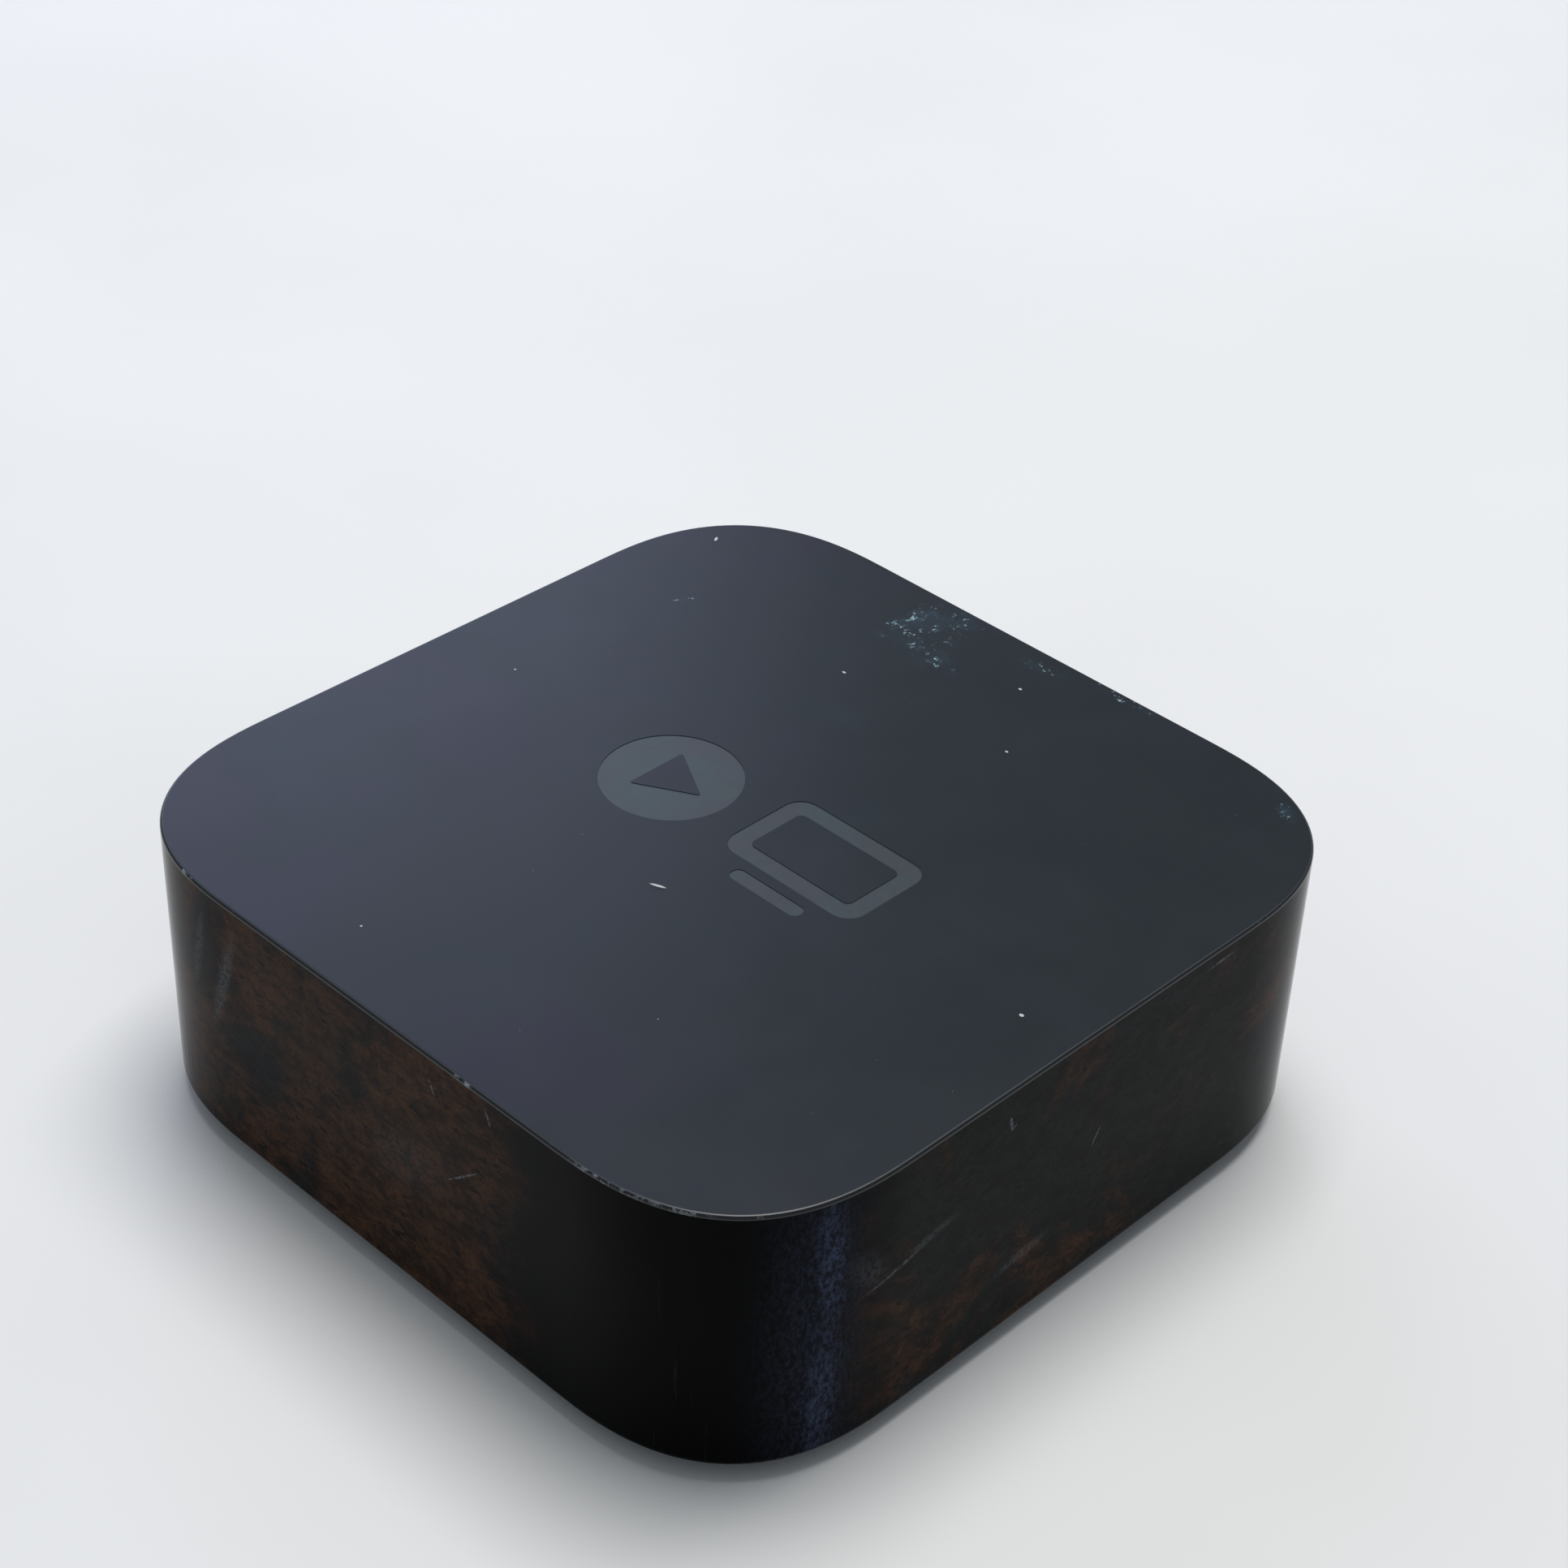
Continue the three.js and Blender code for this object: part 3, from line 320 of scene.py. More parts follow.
class Material:
    """A small builder for node materials, in millimetres of the object's own frame."""

    def __init__(self, name):
        self.material = bpy.data.materials.new(name)
        self.material.use_nodes = True
        self.tree = self.material.node_tree
        self.shader = self.tree.nodes["Principled BSDF"]
        coordinates = self.tree.nodes.new("ShaderNodeTexCoord")
        self.place = self.vector("SCALE", coordinates.outputs["Object"], scale=1000.0)

    def _put(self, socket, value):
        if hasattr(value, "is_output"):
            self.tree.links.new(value, socket)
        elif hasattr(value, "__len__") and len(value) == 3 and socket.type == "RGBA":
            socket.default_value = (*value, 1.0)
        else:
            socket.default_value = value

    def math(self, operation, a, b=0.0, clamp=False):
        node = self.tree.nodes.new("ShaderNodeMath")
        node.operation = operation
        node.use_clamp = clamp
        self._put(node.inputs[0], a)
        self._put(node.inputs[1], b)
        return node.outputs[0]

    def vector(self, operation, a, b=(0, 0, 0), scale=1.0):
        node = self.tree.nodes.new("ShaderNodeVectorMath")
        node.operation = operation
        self._put(node.inputs[0], a)
        self._put(node.inputs[1], b)
        if operation == "SCALE":
            self._put(node.inputs[3], scale)
        return node.outputs["Value" if operation in ("LENGTH", "DOT_PRODUCT", "DISTANCE") else "Vector"]

    def noise(self, scale, detail=3.0, rough=0.5, distortion=0.0, stretch=None, where=None):
        node = self.tree.nodes.new("ShaderNodeTexNoise")
        where = where or self.place
        if stretch:
            where = self.vector("MULTIPLY", where, stretch)
        self._put(node.inputs["Vector"], where)
        node.inputs["Scale"].default_value = scale
        node.inputs["Detail"].default_value = detail
        node.inputs["Roughness"].default_value = rough
        node.inputs["Distortion"].default_value = distortion
        return node.outputs[0]

    def cells(self, scale, where=None, randomness=1.0):
        """The distance to the nearest of scattered points, and that point's own random colour."""
        node = self.tree.nodes.new("ShaderNodeTexVoronoi")
        self._put(node.inputs["Vector"], where or self.place)
        node.inputs["Scale"].default_value = scale
        node.inputs["Randomness"].default_value = randomness
        return node.outputs["Distance"], node.outputs["Color"]

    def wave(self, scale, direction, distortion=0.0, detail=0.0):
        node = self.tree.nodes.new("ShaderNodeTexWave")
        node.bands_direction = direction
        self._put(node.inputs["Vector"], self.place)
        node.inputs["Scale"].default_value = scale
        node.inputs["Distortion"].default_value = distortion
        node.inputs["Detail"].default_value = detail
        return node.outputs["Fac"]

    def ramp(self, value, low, high, to_low=0.0, to_high=1.0):
        node = self.tree.nodes.new("ShaderNodeMapRange")
        node.interpolation_type = "SMOOTHSTEP"
        for i, v in enumerate((value, low, high, to_low, to_high)):
            self._put(node.inputs[i], v)
        return node.outputs[0]

    def mix(self, amount, a, b):
        node = self.tree.nodes.new("ShaderNodeMix")
        node.data_type = "RGBA"
        self._put(node.inputs[0], amount)
        self._put(node.inputs[6], a)
        self._put(node.inputs[7], b)
        return node.outputs[2]

    def slanted(self, turn, stretch):
        """The place, turned by angles in degrees and stretched."""
        node = self.tree.nodes.new("ShaderNodeMapping")
        self._put(node.inputs["Vector"], self.place)
        node.inputs["Rotation"].default_value = [math.radians(angle) for angle in turn]
        node.inputs["Scale"].default_value = stretch
        return node.outputs[0]

    def spot(self, centre, radii, turn, soft, axes):
        """A mask that is 1 inside an ellipse on one face of the case."""
        node = self.tree.nodes.new("ShaderNodeMapping")
        node.vector_type = "TEXTURE"
        self._put(node.inputs["Vector"], self.place)
        order = {"xy": (0, 1, 2), "xz": (0, 2, 1), "yz": (1, 2, 0)}[axes]
        location, scale, rotation = [0.0] * 3, [1.0] * 3, [0.0] * 3
        for k in range(2):
            location[order[k]] = centre[k]
            scale[order[k]] = radii[k]
        scale[order[2]] = ENDLESS
        rotation[order[2]] = math.radians(turn) * (-1 if axes == "xz" else 1)
        node.inputs["Location"].default_value = location
        node.inputs["Rotation"].default_value = rotation
        node.inputs["Scale"].default_value = scale
        reach = self.vector("LENGTH", node.outputs[0])
        return self.ramp(reach, 1.0 - soft, 1.0 + soft, 1.0, 0.0)

    def spots(self, marks, axes):
        """The strongest of several spots, each (centre, radii, turn, soft, strength)."""
        return self.most(*(
            self.times(self.spot(centre, radii, turn, soft, axes), strength)
            for centre, radii, turn, soft, strength in marks
        ))

    def times(self, *values):
        result = values[0]
        for value in values[1:]:
            result = self.math("MULTIPLY", result, value)
        return result

    def most(self, *values):
        result = values[0]
        for value in values[1:]:
            result = self.math("MAXIMUM", result, value)
        return result

    def along(self, direction):
        """How far a point lies along a direction."""
        return self.vector("DOT_PRODUCT", self.place, direction)

    def bump(self, height, distance, strength):
        node = self.tree.nodes.new("ShaderNodeBump")
        self._put(node.inputs["Height"], height)
        node.inputs["Distance"].default_value = distance * MM
        node.inputs["Strength"].default_value = strength
        return node.outputs[0]

    def set(self, **values):
        for name, value in values.items():
            socket = name.replace("_", " ").title().replace("Ior", "IOR")
            self._put(self.shader.inputs[socket], value)


def dimmed(colour, share):
    return tuple(c * share for c in colour)


def moulded(name, colour, rough, grain, depth, vary=0.25, dust=0.0):
    """Moulded plastic or rubber: spark-eroded grain, uneven gloss and a little dust."""
    m = Material(name)
    patches = m.ramp(m.noise(0.12, 3), 0.35, 0.7)
    fine = m.noise(grain, 4, 0.6)
    base = m.mix(patches, dimmed(colour, 1 - vary), dimmed(colour, 1 + vary))
    if dust:
        specks = m.ramp(m.noise(2.2, 5, 0.7), 0.66, 0.78)
        base = m.mix(m.times(specks, dust), base, DUST)
    gloss = m.ramp(m.noise(0.3, 4), 0.3, 0.7, rough * 0.85, min(1.0, rough * 1.12))
    m.set(base_color=base, roughness=gloss, normal=m.bump(fine, depth, 0.6))
    return m.material


def metal(name, colour, rough, grain=(1.0, 1.0, 1.0), scale=3.0, tarnish=0.2, depth=0.004):
    """Bare or plated metal with a drawn or tumbled grain and a slight tarnish."""
    m = Material(name)
    lines = m.noise(scale, 4, 0.6, stretch=grain)
    stain = m.ramp(m.noise(0.5, 4, 0.6), 0.45, 0.75)
    m.set(base_color=m.mix(m.times(stain, tarnish * 2), colour, dimmed(colour, 0.55)), metallic=1.0)
    m.set(roughness=m.ramp(lines, 0.3, 0.7, rough * 0.75, rough * 1.3))
    m.set(normal=m.bump(lines, depth, 0.5))
    return m.material


def laminate(name, mask, track, substrate):
    """A circuit board: solder mask over tracks and poured copper, tinned pads and a bare cut edge."""
    m = Material(name)
    lengthwise = m.ramp(m.wave(0.36, "X"), 0.60, 0.74)
    crosswise = m.ramp(m.wave(0.36, "Y"), 0.60, 0.74)
    block = m.ramp(m.noise(0.11, 1), 0.495, 0.505)
    busy = m.ramp(m.noise(0.16, 2, where=m.vector("ADD", m.place, (3, 9, 0))), 0.47, 0.49)
    tracks = m.times(m.mix(block, lengthwise, crosswise), busy)
    pour = m.ramp(m.noise(0.06, 2, where=m.vector("ADD", m.place, (17, 5, 0))), 0.56, 0.58, 0.0, 0.5)
    dots, _ = m.cells(0.62, randomness=0.25)
    pads = m.times(m.ramp(dots, 0.20, 0.17), m.ramp(m.noise(0.30, 2), 0.56, 0.60))
    normal = m.tree.nodes.new("ShaderNodeNewGeometry").outputs["Normal"]
    level = m.math("ABSOLUTE", m.vector("DOT_PRODUCT", normal, (0, 0, 1)))
    faced = m.ramp(level, 0.6, 0.8)
    base = m.mix(m.most(tracks, pour), mask, track)
    base = m.mix(pads, base, (0.55, 0.54, 0.50))
    weave = m.wave(2.5, "Z", 0.5, 1.0)
    cut = m.mix(m.ramp(weave, 0.3, 0.7), substrate, dimmed(substrate, 0.7))
    m.set(base_color=m.mix(faced, cut, base), metallic=m.times(pads, faced))
    m.set(roughness=m.ramp(m.noise(1.5, 3), 0.3, 0.7, 0.26, 0.40))
    m.set(normal=m.bump(m.most(tracks, pads), 0.03, 0.6))
    return m.material


def wound(name, colour, gap, pitch, rough, metallic=0.0):
    """Wire or tape wound in even turns."""
    m = Material(name)
    turns = m.wave(pitch, "Z", 0.6, 1.0)
    m.set(base_color=m.mix(m.ramp(turns, 0.1, 0.5), gap, colour), metallic=metallic)
    m.set(roughness=m.ramp(m.noise(1.0, 3), 0.3, 0.7, rough * 0.8, rough * 1.2))
    m.set(normal=m.bump(turns, 0.08, 0.8))
    return m.material


# ---------------- the case's finishes

DUST = (0.30, 0.29, 0.27)
SLATE = (0.0066, 0.0108, 0.0150)
# VIOLET is the lighter colour of the top's painted sheen towards the front left.
VIOLET = (0.0105, 0.0112, 0.0215)
TEAL = (0.0055, 0.0155, 0.0195)
GLOSS_BLACK = (0.0010, 0.0010, 0.0012)
# The grey and brown of the walls' painted reflection of a speckled floor.
GREY_REFLECTION = (0.011, 0.012, 0.0118)
BROWN_REFLECTION = (0.064, 0.027, 0.012)
# The bluish colour of the near corner's painted streak of reflection.
BLUE_STREAK = (0.055, 0.072, 0.135)
WALL_IOR = 1.16        # below real plastic, so that the pale floor doesn't turn the walls grey

# Marks are (centre, half sizes, turn in degrees, softness, strength), in millimetres on their face.
TOP_RUBS = (
    ((-14.4, 42.8), (1.3, 5.2), -4, 0.7, 1.0),
    ((-11.4, 43.6), (3.8, 5.0), 0, 0.8, 0.62),
    ((-8.6, 39.0), (4.2, 1.8), -12, 0.8, 0.58),
    ((3.0, 46.5), (3.0, 1.0), 12, 0.7, 0.66),
    ((12.9, 48.0), (4.5, 0.6), 0, 0.7, 0.7),
    ((39.2, 44.1), (1.5, 0.8), -35, 0.7, 0.9),
    ((-35.6, 26.0), (1.6, 0.4), 62, 0.6, 0.8),
)
TOP_SPECKS = (
    ((42.1, -2.6), (0.26, 0.20), 0, 0.15, 1.0),
    ((-42.9, 38.4), (0.45, 0.18), 120, 0.15, 1.0),
    ((-12.1, 28.7), (0.25, 0.15), 0, 0.15, 1.0),
    ((11.0, 30.5), (0.2, 0.14), 0, 0.15, 1.0),
    ((3.8, 41.0), (0.22, 0.16), 0, 0.15, 1.0),
    ((2.6, -14.4), (0.85, 0.16), 22, 0.3, 1.0),
)
LINT_SHADOW = (((2.95, -14.75), (0.90, 0.22), 22, 0.5, 0.85),)
# Where the near corner's painted reflection, a bluish upright streak, lies.
CORNER_STREAK_SPOTS = (
    ((-35.0, 27.0), (1.6, 8.0), 3, 0.9, 1.0),
    ((-35.4, 10.0), (1.8, 10.0), -2, 0.9, 0.9),
    ((-36.0, 18.0), (4.0, 22.0), 0, 0.9, 0.35),
)
FRONT_SCARS = (
    ((15.7, 32.6), (0.14, 1.0), 20, 0.15, 1.0),
    ((11.7, 22.4), (2.8, 0.12), 40, 0.15, 1.0),
    ((7.4, 31.2), (0.12, 0.9), 24, 0.15, 1.0),
    ((-26.2, 24.2), (0.8, 6.0), -18, 0.7, 0.45),
    ((-30.5, 26.0), (0.6, 5.0), -14, 0.8, 0.30),
    ((3.0, 19.0), (5.0, 3.0), 25, 0.8, 0.16),
)
RIGHT_SCARS = (
    ((-11.4, 30.6), (0.22, 0.9), 12, 0.15, 1.0),
    ((-10.9, 29.9), (0.5, 0.10), 30, 0.15, 1.0),
    ((-26.4, 21.7), (4.2, 0.22), 12, 0.5, 0.6),
    ((-22.0, 22.9), (2.6, 0.5), 8, 0.7, 0.35),
    ((-30.5, 23.6), (2.4, 1.4), -50, 0.8, 0.22),
    ((20.6, 33.2), (1.8, 0.14), 2, 0.5, 1.0),
    ((2.6, 20.5), (1.1, 0.12), 62, 0.5, 1.0),
    ((-8.0, 11.0), (3.2, 0.6), 6, 0.7, 0.35),
)
EDGE_CHIPS = (
    ((-32.2, -47.9), (1.3, 0.8), -20, 0.4, 1.0),
    ((34.5, -47.0), (6.0, 0.9), 16, 0.5, 1.0),
    ((-46.6, -36.0), (0.8, 2.2), 20, 0.4, 1.0),
    ((12.0, -49.0), (1.0, 0.6), 0, 0.4, 1.0),
)
# Scattered specks are (cells for each millimetre, share of cells left bare, size, strength, colour channel).
SCATTERED_SPECKS = ((0.16, 0.80, 0.024, 1.0, (1, 0, 0)), (0.5, 0.87, 0.032, 0.38, (0, 1, 0)))


def top_colours(m, fine):
    """Slate that turns a lighter violet towards the front left in uneven patches, a painted sheen, with
    faint teal smears.
    """
    across = m.along((0.0125, 0.0105, 0))
    broad = m.math("SUBTRACT", m.noise(0.03, 3, 0.55), m.times(across, 0.13))
    base = m.mix(m.ramp(broad, 0.50, 0.66), SLATE, VIOLET)
    smear = m.ramp(m.noise(0.05, 5, 0.62, 0.6, where=m.vector("ADD", m.place, (31, 7, 3))), 0.54, 0.72)
    base = m.mix(m.times(smear, 0.6), base, TEAL)
    return m.mix(m.ramp(fine, 0.35, 0.75, 0.0, 0.30), base, (0.018, 0.023, 0.029))


def scattered_specks(m):
    """Dust in a few cells of two scattered grids over the top."""
    flat = m.vector("MULTIPLY", m.place, (1, 1, 0))
    specks = []
    for scale, bare, size, strength, channel in SCATTERED_SPECKS:
        distance, colour = m.cells(scale, flat)
        chosen = m.ramp(m.vector("DOT_PRODUCT", colour, channel), bare, bare + 0.02)
        specks.append(m.times(chosen, m.ramp(distance, size * 0.7, size, strength, 0.0)))
    return m.most(*specks)


def top_finish():
    """Satin dark slate: fine texture, faint smears, specks of dust, a piece of lint and rubbed patches."""
    m = Material("case_top_satin")
    fine = m.noise(6.0, 3, 0.6)
    base = top_colours(m, fine)

    rub_area = m.spots(TOP_RUBS, "xy")
    grains = m.math("ADD", m.noise(0.9, 8, 0.82, 0.25, stretch=(1.3, 1, 1)), m.times(rub_area, 0.09))
    rub = m.times(m.ramp(grains, 0.625, 0.67), m.ramp(rub_area, 0.05, 0.3))
    veil = m.times(rub_area, m.ramp(m.noise(0.35, 5, 0.65), 0.42, 0.62), 0.5)
    base = m.mix(veil, base, (0.016, 0.040, 0.062))
    base = m.mix(m.times(rub, 0.9), base, (0.26, 0.42, 0.46))

    specks = m.most(scattered_specks(m), m.spots(TOP_SPECKS, "xy"))
    base = m.mix(m.spots(LINT_SHADOW, "xy"), base, (0.002, 0.002, 0.003))
    base = m.mix(specks, base, (0.48, 0.50, 0.50))

    raised = m.most(rub, specks)
    rough = m.ramp(m.noise(0.07, 4, 0.6, 0.4), 0.3, 0.7, 0.28, 0.32)
    rough = m.math("ADD", rough, m.times(raised, 0.25), clamp=True)
    m.set(base_color=base, roughness=rough, specular_ior_level=0.34)
    m.set(normal=m.bump(m.math("ADD", fine, m.times(raised, 2.0)), 0.008, 0.45))
    return m.material


def mark_finish():
    """The mark's polished floor, a little lighter than the satin round it."""
    m = Material("case_mark_polished")
    cloud = m.noise(0.12, 4, 0.6, 0.5)
    base = m.mix(m.ramp(cloud, 0.40, 0.66), (0.030, 0.036, 0.043), (0.026, 0.045, 0.048))
    m.set(base_color=base, roughness=m.ramp(m.noise(0.8, 5, 0.7), 0.3, 0.75, 0.30, 0.37))
    m.set(normal=m.bump(m.noise(2.0, 4), 0.003, 0.3))
    return m.material


def painted_wall_reflection(m, grit_and_reflection_grain):
    """A painted reflection of a speckled stone floor: a brown and grey mottle with dark specks, strong on
    the front and right walls and faint on the other two.

    It is left off near the near corner. It gives the walls' colour and the amount of painted reflection.
    """
    flat = m.vector("MULTIPLY", m.place, (1, 1, 0))
    off_corner = m.ramp(m.vector("DISTANCE", flat, (40, -49, 0)), 15, 27)
    browner = m.ramp(m.vector("DISTANCE", flat, (54, -14, 0)), 30, 56)
    region = m.ramp(m.math("ADD", m.noise(0.06, 4, 0.6, 0.6), m.times(browner, 0.15)), 0.51, 0.66)
    mottle = m.ramp(m.noise(0.36, 7, 0.78, 0.3, stretch=(1, 1, 1.6)), 0.38, 0.62)
    reflection_dark_specks = m.ramp(m.noise(0.75, 3, 0.55, 0.4, stretch=(0.8, 0.8, 2.0)), 0.60, 0.66)
    front_and_right = m.ramp(m.along((1, -1, 0)), -6, 22, 0.10, 1.0)
    reflection_area = m.times(off_corner, front_and_right)
    amount = m.times(mottle, grit_and_reflection_grain, reflection_area)
    reflected_colour = m.mix(region, GREY_REFLECTION, BROWN_REFLECTION)
    base = m.mix(m.math("ADD", m.times(amount, 0.80), m.times(reflection_area, 0.20)), GLOSS_BLACK, reflected_colour)
    # Dark specks in the painted reflection.
    return m.mix(m.times(reflection_dark_specks, 0.85), base, (0.0015, 0.0015, 0.0015)), amount


def painted_corner_streak(m):
    """A painted reflection: the bluish upright streak on the near corner, with a fine grain."""
    on_right = m.ramp(m.along((1, 0, 0)), 30, 34)
    grain = m.ramp(m.noise(2.2, 6, 0.8, 0.2, stretch=(1, 1, 0.5)), 0.40, 0.66, 0.08, 1.0)
    return m.times(m.spots(CORNER_STREAK_SPOTS, "yz"), on_right, grain)


def wall_scars(m):
    """Scratches and faint scuffs, each on its own wall only."""
    front = m.times(m.spots(FRONT_SCARS, "xz"), m.ramp(m.along((0, -1, 0)), 28, 32))
    right = m.times(m.spots(RIGHT_SCARS, "yz"), m.ramp(m.along((1, 0, 0)), 28, 32))
    return m.times(m.most(front, right), m.ramp(m.noise(2.0, 4, 0.7), 0.35, 0.6))


def wall_finish():
    """Gloss black under the painted floor reflection, with the corner's painted streak of reflection,
    scratches and hairlines.
    """
    m = Material("case_wall_gloss")
    grit_and_reflection_grain = m.ramp(m.noise(1.9, 4, 0.7, 0.3), 0.36, 0.66, 0.45, 1.0)
    base, amount = painted_wall_reflection(m, grit_and_reflection_grain)
    # The bluish streak on the near corner is a painted reflection.
    base = m.mix(m.times(painted_corner_streak(m), 0.85), base, BLUE_STREAK)

    upright_lines = m.noise(1.0, 5, 0.65, stretch=(3.2, 3.2, 0.10))
    slanted_lines = m.noise(1.2, 3, 0.6, where=m.slanted((35, 35, 0), (2.4, 2.4, 0.05)))
    hair = m.times(m.ramp(slanted_lines, 0.655, 0.70), m.ramp(m.noise(0.06, 2), 0.45, 0.6))
    scars = wall_scars(m)
    base = m.mix(m.times(scars, 0.55), base, (0.20, 0.22, 0.25))
    base = m.mix(m.times(hair, 0.08), base, (0.10, 0.11, 0.13))

    rough = m.ramp(upright_lines, 0.3, 0.75, 0.07, 0.15)
    rough = m.math("ADD", rough, m.times(amount, 0.10))
    rough = m.math("ADD", rough, m.times(m.most(hair, scars), 0.3), clamp=True)
    m.set(base_color=base, roughness=rough, specular_ior_level=0.22, ior=WALL_IOR)
    heights = m.math("ADD", m.times(hair, -0.6), m.times(upright_lines, 0.25))
    m.set(normal=m.bump(m.math("ADD", heights, m.times(grit_and_reflection_grain, 0.35)), 0.010, 0.35))
    return m.material


def edge_finish():
    """The top edge's small radius: gloss black, worn pale in a few chips."""
    m = Material("case_edge_gloss")
    wear = m.ramp(m.noise(1.1, 5, 0.7, 0.5), 0.60, 0.70)
    worn_area = m.most(m.times(wear, 0.25), m.spots(EDGE_CHIPS, "xy"))
    worn = m.times(worn_area, m.ramp(m.noise(0.9, 5, 0.7), 0.44, 0.58))
    m.set(base_color=m.mix(worn, (0.006, 0.0065, 0.008), (0.22, 0.25, 0.28)))
    m.set(roughness=m.ramp(worn, 0.0, 1.0, 0.18, 0.5))
    m.set(normal=m.bump(m.noise(2.0, 4), 0.006, 0.4))
    return m.material


def inner_finish():
    return moulded("case_inner_matt", (0.010, 0.010, 0.011), 0.55, 6.0, 0.008)


# ---------------- case


def mark_outlines():
    """A disc with a play triangle in it, and a screen on a stand, as (solid, hole) outlines."""
    disc = circle(8.0, -10.5, 0.0, 96)
    triangle = softened([(-12.9, -4.0), (-5.9, 0.0), (-12.9, 4.0)], 0.5, 5)
    screen = rounded(19.0, 12.5, 2.4, 11.0, 1.6, 10)
    glass = rounded(14.4, 7.9, 0.8, 11.0, 1.6, 6)
    stand = rounded(10.0, 1.9, 0.9, 11.0, -7.0, 8)
    return [(disc, triangle), (screen, glass), (stand, None)]


def arc(z, radius, start, end, steps):
    """(inset, height) pairs round an edge, from angle start to end: 0 is outwards and 90 is up."""
    pairs = []
    for i in range(steps + 1):
        angle = math.radians(start + (end - start) * i / steps)
        pairs.append((radius * (1 - math.cos(angle)), z + radius * math.sin(angle)))
    return pairs


def case_shell():
    """The case's outside, its hollow and the wider rim that the base cover fits in."""
    lower = arc(LIFT + BOTTOM_RADIUS, BOTTOM_RADIUS, -90, 0, 7)
    upper = arc(TOP - TOP_RADIUS, TOP_RADIUS, 0, 90, 6)
    outside = [(RIM_WALL, LIFT + 0.02)] + lower + [(0.0, z) for z in (10.0, 18.0, 26.0)] + upper
    shell = link("case_shell", upright([(corner_curve(inset, CORNER_STEPS), z) for inset, z in outside]))
    hollow = upright([(corner_curve(WALL, CORNER_STEPS), z) for z in (RIM_TOP, CEILING)])
    rim_levels = (LIFT - 1.0, RIM_TOP + 0.01)
    rim = upright([(corner_curve(RIM_WALL - 0.02, CORNER_STEPS), z) for z in rim_levels])
    return combine(shell, [link("cut_hollow", hollow), link("cut_rim", rim)])


def socket_cutters():
    """The rear wall's three openings, softened at their outer edge, and the pockets behind two of them."""
    cutters = []
    for name, outline, clearance in (
        ("network", network_outline, 0.3),
        ("video", lambda grow: video_outline(-grow), 0.15),
        ("mains", mains_outline, 0.3),
    ):
        layers = [
            (outline(clearance), FACE - 1),
            (outline(clearance), HALF - 0.35),
            (outline(clearance + 0.1), HALF - 0.12),
            (outline(clearance + 0.35), HALF + 0.02),
            (outline(clearance + 0.35), HALF + 2),
        ]
        cutters.append(link("cut_" + name, rearward(layers)))
    for (x, z), width, height in ((NETWORK, 16.8, 12.2), (MAINS, 21.1, 11.4)):
        centre = (x, FACE + 0.3 - POCKET_DEPTH / 2, z)
        cutters.append(link("cut_pocket", box((width, POCKET_DEPTH, height), centre)))
    return cutters


def mark_cutters():
    cutters = []
    for solid, hole in mark_outlines():
        made = link("cut_mark", upright([(solid, TOP - MARK_DEPTH), (solid, TOP + 1)]))
        if hole:
            combine(made, [link("cut_hole", upright([(hole, TOP - 1), (hole, TOP + 2)]))])
        cutters.append(made)
    return cutters


def quarter_turn(bm, turn):
    bmesh.ops.rotate(bm, cent=(0, 0, 0), matrix=Matrix.Rotation(turn * math.pi / 2, 3, "Z"), verts=bm.verts)


def screw_bosses():
    """The bosses under the top: four for the logic board's screws and two for the supply board's."""
    logic = [(x, y, 18.3, 3.2, 1.35, 8.7) for x, y in ((-35, -35), (35, -35), (41, 10), (-41, 10))]
    supply = [(x, -25, 22.4, 3.0, 1.3, 6.6) for x in (-31, 31)]
    bosses = []
    for x, y, low, radius, bore, depth in logic + supply:
        profile = [
            (0, low + depth), (bore, low + depth), (bore, low + 0.3), (bore + 0.3, low),
            (radius, low), (radius, CEILING + 0.5), (0, CEILING + 0.5),
        ]
        bosses.append(link("boss", lathe(profile, 32, x, y)))
    return bosses


def clip_ribs():
    """The ribs inside the walls that the base cover's hooks catch on."""
    ribs = []
    for turn in range(4):
        for along in CLIP_OFFSETS:
            bm = box((8.0, 1.6, 0.8), (along, HALF - WALL + 1 - 0.8, 7.4), soft=0.2)
            quarter_turn(bm, turn)
            ribs.append(link("rib", bm))
    return ribs


def is_inner(centre, normal):
    """Whether a face of the case looks inwards."""
    if abs(normal.z) > 0.7 and LIFT + 2.5 < centre.z < CEILING + 0.1:
        return True
    straight = HALF - REACH
    reach = REACH - 0.6
    x, y = (max(abs(v) - straight, 0.0) / reach for v in (centre.x, centre.y))
    return x ** POWER + y ** POWER < 1.0


def case_material(centre, normal):
    """Which of the case's five finishes a face has, from its middle in millimetres and its direction."""
    if normal.z > 0.9 and centre.z > TOP - 0.01:
        return 1
    if normal.z > 0.9 and centre.z > TOP - MARK_DEPTH - 0.01:
        return 2
    if centre.z > TOP - TOP_RADIUS - 0.01:
        return 3
    return 4 if is_inner(centre, normal) else 0


def build_housing():
    shell = case_shell()
    combine(shell, socket_cutters())
    combine(shell, mark_cutters())
    combine(shell, screw_bosses() + clip_ribs(), "UNION")
    smooth(shell, 28)
    dress(shell, wall_finish(), top_finish(), mark_finish(), edge_finish(), inner_finish())
    for face in shell.data.polygons:
        face.material_index = case_material(face.center / MM, face.normal)
    place(shell, "case_shell", "housing")


